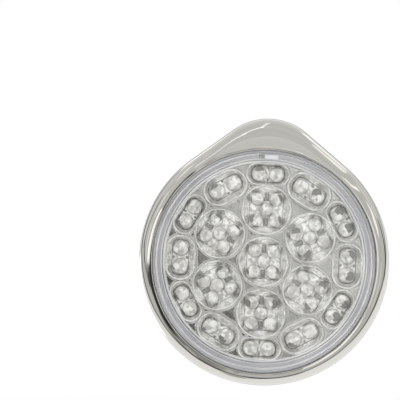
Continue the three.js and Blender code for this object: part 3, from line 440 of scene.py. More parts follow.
class Finishes:
    """The finishes: name, slot, three colours, clean and smeared roughness, relief, and what differs."""

    CHROME = Finish(
        "champagne_chrome", Slot.CHROME, (204, 202, 197), (199, 197, 191), (222, 220, 216), 0.02, 0.06, 0.55,
        metallic=1.0, cloud_scale=9.0, wave_scale=42.0, grain_share=0.0, relief_height=0.0006)
    RING_CHROME = Finish(
        "ring_chrome", Slot.CHROME, (224, 221, 217), (216, 213, 208), (238, 236, 233), 0.02, 0.07,
        metallic=1.0, cloud_scale=14.0, wave_scale=90.0, grain_share=0.0)
    MIRROR = Finish(
        "silvered_reflector", Slot.MIRROR, (196, 195, 191), (186, 185, 181), (226, 225, 222), 0.03, 0.07,
        0.12, metallic=0.95, cloud_scale=40.0, wave_scale=160.0, grain_share=0.1, grain_scale=1400.0,
        relief_height=0.0004)
    # a brighter, less metallic copy of the silvered reflector for the cup walls: painted light where the
    # deep cups are shaded, with a painted highlight on their edges
    CUP = Finish(
        "silvered_cup", Slot.MIRROR, (240, 239, 236), (214, 213, 210), (255, 254, 252), 0.04, 0.12, 0.5,
        metallic=0.76, cloud_scale=300.0, wave_scale=640.0, grain_share=0.25, grain_scale=1500.0,
        relief_height=0.0005, edge_amount=1.0)
    # a near-white, less metallic copy of the silvered reflector along the crests round the cells: a painted
    # highlight line
    CREST = Finish(
        "polished_crest", Slot.MIRROR, (255, 255, 254), (206, 205, 202), (255, 255, 254), 0.1, 0.2, 0.2,
        metallic=0.45, cloud_scale=110.0, wave_scale=300.0, grain_share=0.1)
    LENS = LensFinish(
        "clear_lens_face", Slot.LENS, (248, 250, 250), (244, 247, 248), (250, 251, 251), 0.01, 0.03, 0.02,
        grain_share=0.0, wave_scale=12.0, edge_amount=0.0)
    SEAL = Finish(
        "pale_seal", Slot.SEAL, (196, 196, 197), (186, 186, 188), (210, 210, 211), 0.5, 0.65, 0.2,
        wave_scale=300.0, grain_share=0.6)
    # dark finish for thin rings put into the gaps round the seal: painted shade
    GAP_SHADE = Finish(
        "dark_seal", Slot.SEAL, (104, 104, 103), (92, 92, 91), (130, 130, 129), 0.5, 0.65, 0.2,
        wave_scale=300.0, grain_share=0.6)
    TRIM = Finish(
        "blue_grey_paint", Slot.TRIM, (184, 183, 187), (173, 172, 177), (204, 204, 208), 0.32, 0.42, 0.06,
        metallic=0.35, coat=0.25, cloud_scale=30.0)
    BEAD = Finish(
        "bright_bead", Slot.TRIM, (226, 226, 226), (216, 216, 217), (240, 240, 240), 0.14, 0.24, 0.15,
        metallic=0.6, coat=0.3, wave_scale=200.0, cloud_scale=60.0)
    TAB = Finish(
        "pale_tab", Slot.TRIM, (226, 226, 229), (218, 218, 222), (236, 236, 239), 0.25, 0.35, 0.04,
        metallic=0.2, coat=0.3, cloud_scale=60.0)
    LAMP = LampFinish(
        "milky_lamp", Slot.LAMP, (240, 239, 234), (200, 198, 192), (246, 245, 242), 0.16, 0.26, 0.12,
        coat=0.5, wave_scale=420.0, cloud_scale=180.0, grain_share=0.2)
    CARRIER = Finish(
        "lamp_carrier", Slot.WHITE, (244, 243, 239), (178, 177, 173), (250, 249, 246), 0.3, 0.45, 0.5,
        cloud_scale=360.0, wave_scale=500.0, grain_share=0.5)
    BRIDGE = Finish(
        "terminal_bridge", Slot.BLACK, (160, 159, 155), (104, 103, 100), (186, 185, 181), 0.35, 0.5, 0.4,
        cloud_scale=900.0, wave_scale=900.0, grain_share=0.5)
    SATIN_SILVER = Finish(
        "satin_silver_paint", Slot.SATIN_SILVER, (214, 215, 217), (205, 206, 209), (228, 229, 230), 0.3, 0.4,
        0.08, metallic=0.75, coat=0.15, grain_scale=3200.0, grain_share=0.5)
    DARK_SATIN = Finish(
        "dark_satin_paint", Slot.DARK_SATIN, (84, 85, 91), (74, 75, 81), (104, 105, 111), 0.31, 0.43,
        metallic=0.4, coat=0.15, coat_roughness=0.25, grain_scale=3000.0, grain_share=0.6, cloud_scale=12.0)
    WHITE = Finish(
        "pearl_white_plate", Slot.WHITE, (230, 232, 233), (224, 227, 229), (240, 241, 242), 0.24, 0.34, 0.05,
        coat=0.3, cloud_scale=14.0)
    BEIGE = Finish(
        "beige_satin_cap", Slot.BEIGE, (224, 218, 211), (216, 211, 203), (234, 230, 224), 0.38, 0.5, 0.12,
        cloud_scale=60.0, grain_share=0.5)
    BLACK = Finish(
        "black_moulding", Slot.BLACK, (34, 34, 36), (28, 28, 30), (60, 60, 62), 0.34, 0.5, 0.12,
        grain_share=0.5)
    LAMP_BOARD = BoardFinish(
        "dark_board", Slot.BOARD, (52, 53, 54), (44, 45, 46), (110, 110, 104), 0.35, 0.5,
        cloud_scale=50.0, run=(74, 76, 76))
    BOARD = BoardFinish(
        "green_board", Slot.BOARD, (32, 88, 58), (28, 78, 52), (120, 140, 90), 0.35, 0.5, cloud_scale=50.0)
    STEEL = Finish(
        "bright_steel", Slot.STEEL, (190, 192, 194), (178, 180, 182), (212, 213, 214), 0.22, 0.38,
        metallic=1.0, wave_scale=500.0)
    LEAD_WHITE = Finish(
        "white_moulding", Slot.WHITE, (222, 222, 218), (210, 210, 206), (234, 234, 231), 0.4, 0.52)


# Meshes


class Station(NamedTuple):
    """A point of a section: radius and depth, with the tip's rise and how far its corner is rounded."""

    radius: float
    depth: float
    rise: float = 0.0
    rounding: float = 0.0


def bend(start: np.ndarray, corner: np.ndarray, end: np.ndarray, share: float) -> np.ndarray:
    """A place on the curve from start to end that a corner pulls toward itself."""
    return start * (1 - share) ** 2 + corner * 2 * share * (1 - share) + end * share**2


def ease(share: np.ndarray) -> np.ndarray:
    """A share from 0 to 1 with a soft start and end."""
    return share * share * (3 - 2 * share)


def rounded_run(rows: Rows, closed: bool, steps: int = 4) -> list[Station]:
    """Round the corners of a section.

    Args:
        rows: the section's corners in turn.
        closed: whether the last corner joins the first.
        steps: pieces of each rounded corner.

    Returns:
        The section's points with their corners rounded.
    """
    stations = [Station(*row) for row in rows]
    count = len(stations)
    run: list[Station] = []
    for index, here in enumerate(stations):
        if here.rounding <= 0 or (not closed and index in (0, count - 1)):
            run.append(here)
            continue
        corner = np.array(here[:3])
        ends = []
        for other in (stations[index - 1], stations[(index + 1) % count]):
            way = np.array(other[:3]) - corner
            ends.append(corner + way * min(here.rounding / max(math.hypot(*way[:2]), 1e-9), 0.48))
        run += [Station(*bend(ends[0], corner, ends[1], k / steps)) for k in range(steps + 1)]
    return run


def neighbours(count: int) -> Faces:
    """Pairs of each point of a closed row with the next one."""
    return [(i, (i + 1) % count) for i in range(count)]


def new_object(name: str, data: bpy.types.ID) -> Piece:
    """Put an object in the scene.

    Args:
        name: its name.
        data: its mesh, lamp or camera.

    Returns:
        The object.
    """
    made = bpy.data.objects.new(name, data)
    bpy.context.scene.collection.objects.link(made)
    return made


class Skin:
    """Closed meshes from loops of points, in millimetres."""

    def __init__(self) -> None:
        """Start with nothing."""
        self.points: Loops = []
        self.faces: Faces = []
        self.count = 0

    def add(self, points: np.ndarray, faces: Faces) -> Skin:
        """Add points and the faces between them.

        Args:
            points: places, one a row.
            faces: corners of each face, as rows of these points.

        Returns:
            This skin.
        """
        self.points.append(np.asarray(points, float).reshape(-1, 3))
        self.faces += [tuple(self.count + i for i in face) for face in faces]
        self.count += len(self.points[-1])
        return self

    def loft(self, loops: Loops, joined: bool = False, capped: bool = True) -> Skin:
        """Add a surface through loops with the same number of points.

        Args:
            loops: closed rows of points.
            joined: join the last loop to the first.
            capped: close both ends, where they aren't joined.

        Returns:
            This skin.
        """
        rows, count = len(loops), len(loops[0])
        around = neighbours(count)
        faces: Faces = []
        for row in range(rows if joined else rows - 1):
            here, after = row * count, (row + 1) % rows * count
            faces += [(here + i, here + j, after + j, after + i) for i, j in around]
        points = np.concatenate(loops)
        if capped and not joined:
            first, last = rows * count, (rows - 1) * count
            points = np.concatenate([points, [loops[0].mean(axis=0), loops[-1].mean(axis=0)]])
            faces += [face for i, j in around for face in ((first, j, i), (first + 1, last + i, last + j))]
        return self.add(points, faces)

    def build(self, name: str) -> Piece:
        """Make the object, with its doubles merged and its faces pointing out.

        Args:
            name: its name.

        Returns:
            The object at the origin, in metres.
        """
        mesh = bpy.data.meshes.new(name)
        mesh.from_pydata((np.concatenate(self.points) * MM).tolist(), [], self.faces)
        made = bmesh.new()
        made.from_mesh(mesh)
        bmesh.ops.remove_doubles(made, verts=made.verts, dist=2e-7)
        bmesh.ops.dissolve_degenerate(made, dist=1e-8, edges=made.edges)
        bmesh.ops.recalc_face_normals(made, faces=made.faces)
        open_edges = sum(len(edge.link_faces) != 2 for edge in made.edges)
        if open_edges:
            LOG.warning("%s has %d open edges", name, open_edges)
        made.to_mesh(mesh)
        made.free()
        return new_object(name, mesh)


def plain_mesh(piece: Piece) -> Piece:
    """Replace a piece's modifiers by what they make.

    Args:
        piece: the object with its modifiers.

    Returns:
        The same object, with a plain mesh.
    """
    bpy.context.view_layer.update()
    mesh = bpy.data.meshes.new_from_object(piece.evaluated_get(bpy.context.evaluated_depsgraph_get()))
    mesh.name = piece.name
    piece.modifiers.clear()
    piece.data = mesh
    return piece


def carve(piece: Piece, cutters: list[Piece]) -> Piece:
    """Cut holes in a piece.

    Args:
        piece: the solid to cut.
        cutters: solids that go out of it; they are removed afterwards.

    Returns:
        The cut piece.
    """
    for cutter in cutters:
        cut = piece.modifiers.new("cut", "BOOLEAN")
        cut.operation = "DIFFERENCE"
        cut.solver = "EXACT"
        cut.object = cutter
    plain_mesh(piece)
    for cutter in cutters:
        bpy.data.objects.remove(cutter)
    return piece


def circle(count: int, radius: float = 1.0) -> np.ndarray:
    """A circle's points in the front view, clockwise from the top."""
    turn = np.linspace(0, FULL_TURN, count, endpoint=False)
    return radius * np.c_[np.sin(turn), np.cos(turn)]


def at_depth(outline: np.ndarray, depth: float | np.ndarray) -> np.ndarray:
    """Places of an outline in the front view, set at a depth."""
    return np.c_[outline[:, 0], np.full(len(outline), -depth), outline[:, 1]]


def turned(rows: Rows, centre: Pair = (0.0, 0.0), count: int = 192, steps: int = 4) -> Loops:
    """Loops of a section turned about a line along the depth, with steps pieces to each rounded corner."""
    return [at_depth(circle(count, s.radius) + centre, s.depth) for s in rounded_run(rows, False, steps)]


def pill(length: float, width: float, count: int = 64) -> np.ndarray:
    """A stadium outline, long along the first axis.

    Args:
        length: from end to end.
        width: across.
        count: its points.

    Returns:
        Rows of two numbers.
    """
    turn = np.linspace(-math.pi / 2, math.pi / 2, count // 4 * 2)
    reach, radius = (length - width) / 2, width / 2
    right = np.c_[reach + radius * np.cos(turn), radius * np.sin(turn)]
    return np.concatenate([right, -right])


def disc(radius: float, count: int = 64) -> np.ndarray:
    """A circle's outline with a pill's points."""
    return pill(2 * radius, 2 * radius, count)


def rectangle(length: float, width: float, corner: float, steps: int = 6) -> np.ndarray:
    """A rectangle with rounded corners.

    Args:
        length: along the first axis.
        width: along the second axis.
        corner: radius of its corners.
        steps: pieces of each corner.

    Returns:
        Rows of two numbers.
    """
    points = []
    for k, (a, b) in enumerate(((1, 1), (-1, 1), (-1, -1), (1, -1))):
        turn = np.linspace(k * math.pi / 2, (k + 1) * math.pi / 2, steps + 1)
        centre = np.array([a * (length / 2 - corner), b * (width / 2 - corner)])
        points.append(centre + corner * np.c_[np.cos(turn), np.sin(turn)])
    return np.concatenate(points)


# Sub-assemblies


@dataclass
class BodyForm:
    """The egg-shaped body: arcs about the centre and about the tip, joined by straight flanks."""

    tip_rise: float = 66.0
    tip_half_angle: float = math.radians(38)
    band_front_radius: float = 98.0
    band_rear_radius: float = 92.0
    band_rear: float = 20.0
    band_front: float = 38.0
    wall: float = 2.4
    fit: float = 0.3
    lip_height: float = 2.5
    lip_thickness: float = 1.2
    seam_rounding: float = 0.7
    opening: float = 88.0
    tip_steps: int = 48
    body_steps: int = 168

    def loop(self, station: Station) -> np.ndarray:
        """The body's outline for one point of a section.

        Args:
            station: the section's point.

        Returns:
            The outline's points in turn.
        """
        reach = station.radius - station.rise * math.cos(self.tip_half_angle)
        tip = np.linspace(-self.tip_half_angle, self.tip_half_angle, self.tip_steps + 1)
        body = np.linspace(self.tip_half_angle, FULL_TURN - self.tip_half_angle, self.body_steps + 1)
        x = np.r_[reach * np.sin(tip), station.radius * np.sin(body)]
        z = np.r_[station.rise + reach * np.cos(tip), station.radius * np.cos(body)]
        return at_depth(np.c_[x, z], station.depth)

    def skin(self, rows: Rows) -> Skin:
        """A skin that runs a closed section round the body."""
        return Skin().loft([self.loop(station) for station in rounded_run(rows, closed=True)], joined=True)

    def band_radius(self, depth: float | np.ndarray) -> float | np.ndarray:
        """Radius of the band's outer face at a depth."""
        share = (depth - self.band_rear) / (self.band_front - self.band_rear)
        return self.band_rear_radius + (self.band_front_radius - self.band_rear_radius) * share


@dataclass
class HingeLine:
    """The line that the finger ring turns on, and the bore for its pin."""

    depth: float = 2.0
    rise: float = 26.5
    bore: float = 1.9

    def cutter(self, half: float) -> Piece:
        """A rod that cuts the bore, reaching half its length to each side."""
        rod = circle(32, self.bore)
        ends = [np.c_[np.full(32, x), rod[:, 1] - self.depth, rod[:, 0] + self.rise] for x in (-half, half)]
        return Skin().loft(ends).build("pin_bore")


@dataclass
class SubAssembly:
    """Something that builds pieces, dresses them and hands them to the frame."""

    form: BodyForm
    nodes: dict[str, Piece]

    def hand_over(
        self, piece: Piece, finish: Finish, *stands_for: str, body: Body = Body.HOUSING, sharp: float = 35.0
    ) -> Piece:
        """Shade and dress a piece and let it ride with its body.

        Args:
            piece: the finished object.
            finish: what it is made of.
            stands_for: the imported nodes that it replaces.
            body: the body it moves with.
            sharp: the bend in degrees past which an edge stays sharp.

        Returns:
            The piece.
        """
        piece.data.shade_smooth()
        piece.data.set_sharp_from_angle(angle=math.radians(sharp))
        piece.data.materials.clear()
        piece.data.materials.append(finish.material())
        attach(piece, body.value)
        if stands_for:
            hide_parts(*stands_for)
        nodes = ", ".join(stands_for) or "detail"
        LOG.info("%s: %d faces, for %s", piece.name, len(piece.data.polygons), nodes)
        return piece

    def dress(self, finish: Finish, *names: str) -> None:
        """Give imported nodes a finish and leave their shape.

        Args:
            finish: what they are made of.
            names: the nodes.
        """
        for name in names:
            node = self.nodes[name]
            if not node.data.materials:
                node.data.materials.append(None)
            for slot in node.material_slots:
                slot.material = finish.material()
            LOG.info("%s: finish %s", name, finish.name)

    def make(self) -> None:
        """Build and dress the pieces."""
        raise NotImplementedError


@dataclass
class Bezel(SubAssembly):
    """The plated front bezel with its rounded rim, lens ledge and screw bosses."""

    widest_radius: float = 99.0
    widest: float = 43.0
    front: float = 56.0
    roundness: float = 2.3
    lip_rounding: float = 0.6
    ledge_radius: float = 85.5
    ledge_front: float = 50.5
    ledge_back: float = 48.5
    boss_radius: float = 2.6
    boss_offset: float = 90.6
    boss_depth: float = 38.1
    boss_angles: tuple[float, ...] = (28.0, 118.0, 242.0, 332.0)
    curve_steps: int = 30

    def curve(self, radius: float, opening: float, front: float, steps: int) -> Rows:
        """The rounded front from the widest line to the opening.

        Args:
            radius: radius at the widest line.
            opening: radius at the opening's rim.
            front: depth of the front.
            steps: pieces of the curve.

        Returns:
            The curve's points.
        """
        power = 2 / self.roundness
        run = []
        for index in range(steps + 1):
            angle = math.pi / 2 * (1 - (1 - index / steps) ** 1.7)
            outward = max(math.cos(angle), 0.0) ** power if index < steps else 0.0
            depth = self.widest + (front - self.widest) * math.sin(angle) ** power
            run.append((opening + (radius - opening) * outward, depth,
                        self.form.tip_rise * outward ** (1 / self.roundness)))
        return run

    def section(self) -> Rows:
        """The bezel's whole section.

        Returns:
            Its corners in turn.
        """
        form, rise, seam = self.form, self.form.tip_rise, self.form.band_front
        lip_end = seam - form.lip_height
        inner, lip = (form.band_radius(depth) - form.wall - form.fit for depth in (seam, lip_end))
        wide, opening, front = self.widest_radius, form.opening, self.front
        outside = self.curve(wide, opening + self.lip_rounding, front, self.curve_steps)
        inside = self.curve(wide - form.wall, opening + form.wall, front - form.wall, 8)
        return [
            (form.band_front_radius, seam, rise, form.seam_rounding),
            *outside[:-1],
            (opening, front, 0.0, self.lip_rounding),
            (opening, self.ledge_front, 0.0, 0.1),
            (self.ledge_radius, self.ledge_front, 0.0, 0.2),
            (self.ledge_radius, self.ledge_back, 0.0, 0.2),
            (opening + form.wall, self.ledge_back, 0.0, 0.2),
            *reversed(inside),
            (lip - form.lip_thickness, seam + form.lip_thickness, rise),
            (lip - form.lip_thickness, lip_end, rise, 0.2),
            (lip, lip_end, rise, 0.2),
            (inner, seam, rise),
        ]

    def make(self) -> None:
        """Build the bezel in one piece with its bosses."""
        skin = self.form.skin(self.section())
        ends = [(self.boss_radius, self.boss_depth), (self.boss_radius, self.front - self.form.wall)]
        for angle in np.radians(self.boss_angles):
            centre = (self.boss_offset * math.sin(angle), self.boss_offset * math.cos(angle))
            skin.loft(turned(ends, centre, 24))
        self.hand_over(skin.build("bezel_shell"), Finishes.CHROME, "front_bezel", sharp=50)


@dataclass(frozen=True)
class CellKind:
    """Sizes that cells of one kind share: offset, cup, window, lamps and the gap between them."""

    offset: float
    length: float
    width: float
    window: Pair
    lamp: float
    spots: tuple[Pair, ...]
    gap: float
    gap_place: Pair
    corner: float
    margin: float


@dataclass
class LampCell:
    """One reflector cell: a round or pill-shaped cup that narrows to a rectangular window."""

    kind: CellKind
    angle: float
    offset: float
    count: int = 96

    def local(self, points: np.ndarray) -> np.ndarray:
        """Places from the cell's centre, along its length and outward."""
        sine, cosine = math.sin(self.angle), math.cos(self.angle)
        x, z = (points - self.offset * np.array([sine, cosine])).T
        return np.c_[x * cosine - z * sine, x * sine + z * cosine]

    def world(self, points: np.ndarray) -> np.ndarray:
        """Places in the front view from places in the cell."""
        sine, cosine = math.sin(self.angle), math.cos(self.angle)
        out = self.offset + points[:, 1]
        return np.c_[points[:, 0] * cosine + out * sine, out * cosine - points[:, 0] * sine]

    def edge_distance(self, points: np.ndarray) -> np.ndarray:
        """How far places lie outside the cup's edge, in the cell's own axes."""
        reach = (self.kind.length - self.kind.width) / 2
        along = points[:, 0] - np.clip(points[:, 0], -reach, reach)
        return np.hypot(along, points[:, 1]) - self.kind.width / 2

    def window_distance(self, points: np.ndarray) -> np.ndarray:
        """How far places lie outside the window, in the cell's own axes."""
        past = np.abs(points) - (np.array(self.kind.window) / 2 - self.kind.corner)
        outside = np.hypot(*np.maximum(past, 0).T)
        return outside + np.minimum(past.max(axis=1), 0) - self.kind.corner

    def outline(self, share: float = 0.0, distance: float = 0.0) -> np.ndarray:
        """The cup's outline part of the way from its edge to its window.

        Args:
            share: 0 at the edge, 1 at the window.
            distance: how far outside that outline.

        Returns:
            Points in the front view, in turn.
        """
        ways = circle(self.count) * (self.kind.length, self.kind.width)
        ways /= np.hypot(*ways.T)[:, None]
        low, high = np.zeros(self.count), np.full(self.count, self.kind.length)
        for _ in range(42):
            middle = (low + high) / 2
            places = ways * middle[:, None]
            value = (1 - share) * self.edge_distance(places) + share * self.window_distance(places)
            inside = value < distance
            low, high = np.where(inside, middle, low), np.where(inside, high, middle)
        return self.world(ways * low[:, None])


@dataclass
class LampHead(SubAssembly):
    """What shows through the lens: reflector, trim ring, lamps and carriers, then the lens and its seal."""

    round_cell: CellKind = CellKind(
        41.0, 38.2, 38.2, (27.0, 28.0), 5.4,
        ((0, 0), (7.35, 8.2), (-7.35, 8.2), (7.35, -8.2), (-7.35, -8.2)), 1.75, (6.6, 13.2), 2.6, 0.12)
    small_cell: CellKind = CellKind(
        69.0, 33.0, 16.0, (26.2, 13.0), 6.0, ((-6.8, 0), (6.8, 0)), 0.6, (3.6, 5.8), 5.4, 0.3)
    large_cell: CellKind = CellKind(
        65.8, 34.5, 22.4, (28.0, 13.8), 6.2, ((-7.2, 0), (7.2, 0)), 1.1, (4.4, 6.2), 5.8, 0.3)
    reflector_radius: float = 80.0
    reflector_front: float = 50.2
    flange_radius: float = 85.2
    flange_front: float = 48.6
    flange_back: float = 47.0
    floor_front: float = 46.2
    floor_back: float = 41.4
    skirt_radius: float = 77.8
    board_front: float = 39.7
    crest: float = 0.9
    crest_drop: float = 0.6
    crest_line: Pair = (-0.12, 0.5)
    web_drop: float = 0.7
    web_reach: float = 2.1
    web_rings: tuple[float, ...] = (0.22, 0.45, 0.68, 0.9, 1.15, 1.45, 1.8, 2.1, 2.6)
    web_grid: float = 1.6
    cup_steps: tuple[Pair, ...] = (
        (0.0, 0.0), (0.015, 0.12), (0.03, 0.2), (0.08, 0.22), (0.16, 0.24), (0.19, 0.3), (0.21, 0.38),
        (0.35, 0.46), (0.38, 0.55), (0.54, 0.63), (0.57, 0.71), (0.74, 0.79), (0.77, 0.87), (1.0, 1.0))
    trim_inner: float = 80.3
    trim_drop: float = 0.35
    bead_height: float = 0.6
    bead_round: float = 0.3
    tab_bar: Pair = (-3.2, 7.4)
    tab_slot: Pair = (-7.5, -3.4)
    tab_width: float = 3.2
    tab_height: float = 0.6
    lamp_base: float = 44.5
    lamp_barrel: float = 1.0
    lamp_height: float = 5.4
    shade_seed: int = 11
    carrier_front: float = 45.1
    carrier_thickness: float = 5.4
    bridge_height: float = 0.5
    lens_radius: float = 87.7
    lens_back: float = 51.3
    lens_front: float = 54.0
    lens_step: float = 0.7
    seal_inner: float = 85.5
    seal_back: float = 50.5
    outer_count: int = 360

    def __post_init__(self) -> None:
        """Set out the cells: the middle one, the ring of six, then the twelve along the rim."""
        ring, rim = self.round_cell, (self.small_cell, self.large_cell)
        self.cells = [LampCell(ring, 0.0, 0.0)]
        self.cells += [LampCell(ring, math.pi * i / 3, ring.offset) for i in range(6)]
        self.cells += [LampCell(rim[i % 2], math.pi * i / 6, rim[i % 2].offset) for i in range(12)]

    def gap(self, points: np.ndarray) -> np.ndarray:
        """Distance of places in the front view from the nearest cell's edge."""
        return np.min([cell.edge_distance(cell.local(points)) for cell in self.cells], axis=0)

    def web_gap(self, points: np.ndarray) -> np.ndarray:
        """Distance of places in the front view from the nearest edge of a cell or of the reflector."""
        return np.minimum(self.gap(points), self.reflector_radius - np.hypot(*points.T))

    def fill(self, radius: float, share: float, free: np.ndarray) -> tuple[np.ndarray, Faces]:
        """Triangles of a flat region between an outer circle and the cells.

        Args:
            radius: radius of the outer circle.
            share: which outline of the cells bounds the region, 0 for the edge and 1 for the window.
            free: more points inside the region.

        Returns:
            Points in the front view and triangles.
        """
        loops = [circle(self.outer_count, radius), *[cell.outline(share) for cell in self.cells]]
        edges: Faces = []
        start = 0
        for loop in loops:
            edges += [(start + i, start + j) for i, j in neighbours(len(loop))]
            start += len(loop)
        points = [Vector(point) for point in np.concatenate([*loops, free])]
        flat, _, faces, *_ = delaunay_2d_cdt(points, edges, [], 0, 1e-6)
        flat = np.array([(v.x, v.y) for v in flat])
        middles = flat[np.array(faces)].mean(axis=1)
        keep = np.hypot(*middles.T) < radius
        for cell in self.cells:
            places = cell.local(middles)
            keep &= (cell.window_distance(places) if share else cell.edge_distance(places)) > 0
        return flat, [tuple(face) for face, kept in zip(faces, keep) if kept]

    def web(self) -> tuple[np.ndarray, Faces]:
        """The front surface: a rounded crest round each cell and lower ground between them.

        Returns:
            Places and triangles.
        """
        free = []
        for distance in self.web_rings:
            rows = [cell.outline(0.0, distance) for cell in self.cells]
            rows.append(circle(self.outer_count, self.reflector_radius - distance))
            free += [row[np.abs(self.web_gap(row) - distance) < 1e-4] for row in rows]
        reach = self.reflector_radius - 1
        line = np.arange(-reach, reach + 1, self.web_grid)
        grid = np.array(list(product(line, line)))
        free.append(grid[self.web_gap(grid) > self.web_reach + 0.5])
        flat, faces = self.fill(self.reflector_radius, 0.0, np.concatenate(free))
        distance = np.maximum(self.web_gap(flat), 0)
        rim = self.crest_drop * np.square(np.clip(1 - distance / self.crest, 0, 1))
        share = np.clip((distance - self.crest) / (self.web_reach - self.crest), 0, 1)
        return at_depth(flat, self.reflector_front - rim - self.web_drop * ease(share)), faces

    def cup(self, cell: LampCell) -> Loops:
        """The inner wall of a cup, from its edge to the back of its window.

        Args:
            cell: the cell.

        Returns:
            Its loops.
        """
        top = self.reflector_front - self.crest_drop
        drop = top - self.floor_front
        loops = [at_depth(cell.outline(share), top - drop * fall) for share, fall in self.cup_steps]
        window = cell.outline(self.cup_steps[-1][0])
        return loops + [at_depth(window, depth) for depth in (self.floor_front - 0.15, self.floor_back)]

    def reflector(self) -> None:
        """Build the silvered reflector: web, cups, back and skirt in one closed piece."""
        skin = Skin().add(*self.web())
        for cell in self.cells:
            skin.loft(self.cup(cell), capped=False)
        flat, faces = self.fill(self.skirt_radius, 1.0, np.zeros((0, 2)))
        skin.add(at_depth(flat, self.floor_back), faces)
        side = [
            (self.reflector_radius, self.reflector_front - self.crest_drop),
            (self.reflector_radius, self.flange_front),
            (self.flange_radius, self.flange_front),
            (self.flange_radius, self.flange_back),
            (self.reflector_radius, self.flange_back),
            (self.reflector_radius, self.board_front),
            (self.skirt_radius, self.board_front),
            (self.skirt_radius, self.floor_back),
        ]
        skin.loft(turned(side, count=self.outer_count), capped=False)
        piece = self.hand_over(skin.build("reflector_cups"), Finishes.MIRROR, "reflector", sharp=60)
        self.brighten_cups_and_crests(piece)

    def brighten_cups_and_crests(self, piece: Piece) -> None:
        """Give the walls of the cups a brighter, less metallic copy of the silvered finish, as painted light
        where the deep cups are shaded, and the crests round them a near-white copy, as a painted highlight
        line.

        Args:
            piece: the reflector.
        """
        for finish in (Finishes.CUP, Finishes.CREST):
            piece.data.materials.append(finish.material())
        faces = piece.data.polygons
        gaps = self.gap(np.array([face.center for face in faces])[:, [0, 2]] / MM)
        # faces inside the cells take the brightened cup copy (painted light), a band round each cell's edge
        # the crest copy (painted highlight)
        kinds = np.where(gaps < self.crest_line[1], 2, 0)
        kinds[gaps < self.crest_line[0]] = 1
        faces.foreach_set("material_index", kinds.astype(np.int32))

    def lamps(self) -> None:
        """Build the lamps, each with its size and the way that its painted shade falls."""
        random = np.random.default_rng(self.shade_seed)
        places, sizes, shades = [], [], []
        for cell in self.cells:
            for x, z in cell.kind.spots:
                out = (math.copysign(1.0, x), 0.0) if z else (0.0, 1.0)
                place, tip = cell.world(np.array([[x, z], [x + out[0], z + out[1]]]))
                way = tip - place
                turn = random.normal(0.0, 0.45)
                # the painted shade reaches further on lamps further right
                cut = 0.45 - 0.004 * place[0] + random.uniform(-0.25, 0.35)
                if not (x or z) or random.random() < 0.2:
                    cut = 2.0
                sine, cosine = math.sin(turn), math.cos(turn)
                places.append(place)
                sizes.append(cell.kind.lamp)
                shades.append((way[0] * cosine - way[1] * sine, way[0] * sine + way[1] * cosine, cut))
        tree = LampTree(self.lamp_barrel, self.lamp_height)
        spots = tree.spots(np.array(places), self.lamp_base, np.array(sizes), np.array(shades))
        names = [f"lamp_group_{i + 1}" for i in range(7)] + [f"lamp_pair_{i + 1}" for i in range(12)]
        self.hand_over(tree.grow("lamp_domes", Finishes.LAMP, spots), Finishes.LAMP, *names)

    def slab(
        self, cell: LampCell, size: Pair, shift: float, front: float, back: float, corner: float = 0.5
    ) -> Loops:
        """A flat block with a soft front edge, set into a cell.

        Args:
            cell: the cell.
            size: along the cell and across it.
            shift: how far out of the cell's middle.
            front: depth of its front.
            back: depth of its back.
            corner: radius of its corners.

        Returns:
            Its loops.
        """
        loops = []
        for inset, depth in ((0.25, front), (0.0, front - 0.25), (0.0, back)):
            flat = rectangle(size[0] - 2 * inset, size[1] - 2 * inset, corner) + (0.0, shift)
            loops.append(at_depth(cell.world(flat), depth))
        return loops

    def carriers(self) -> None:
        """Build the flat carriers under the lamps and the dark terminal bridges between them."""
        carriers, bridges, front = Skin(), Skin(), self.carrier_front
        for cell in self.cells:
            kind = cell.kind
            size = tuple(side - 2 * kind.margin for side in kind.window)
            corner = kind.corner - kind.margin
            carriers.loft(self.slab(cell, size, 0.0, front, front - self.carrier_thickness, corner))
            near, far = kind.gap_place
            for side in (-1, 1):
                middle = side * (near + far) / 2
                size = (2 * kind.gap, far - near)
                bridges.loft(self.slab(cell, size, middle, front + self.bridge_height, front - 0.3))
        self.hand_over(carriers.build("lamp_carriers"), Finishes.CARRIER, sharp=50)
        self.hand_over(bridges.build("lamp_bridges"), Finishes.BRIDGE, sharp=50)

    def tab(self, name: str, span: Pair, height: float) -> Piece:
        """A piece of the raised tab on the trim ring under the tip.

        Args:
            name: its name.
            span: where it starts and ends along the ring, from the tip's line.
            height: how far it stands proud of the ring.

        Returns:
            The piece.
        """
        middle = (self.trim_inner + self.flange_radius) / 2
        top = self.reflector_front + height
        rows = []
        for inset, depth in ((0.0, self.flange_front), (0.0, top - 0.2), (0.2, top)):
            turn = np.linspace(span[0] + inset, span[1] - inset, 24) / middle
            around = np.c_[np.sin(turn), np.cos(turn)]
            half = self.tab_width / 2 - inset
            sides = [around * (middle - half), (around * (middle + half))[::-1]]
            rows.append(at_depth(np.concatenate(sides), depth))
        return Skin().loft(rows).build(name)

    def ring(self, name: str, finish: Finish, sizes: tuple[float, ...], *stands_for: str) -> None:
        """Sweep a ring of these inner and outer radii, back and front depths and edge, and hand it over."""
        self.hand_over(SweptRing.between(*sizes).grow(name, finish), finish, *stands_for)

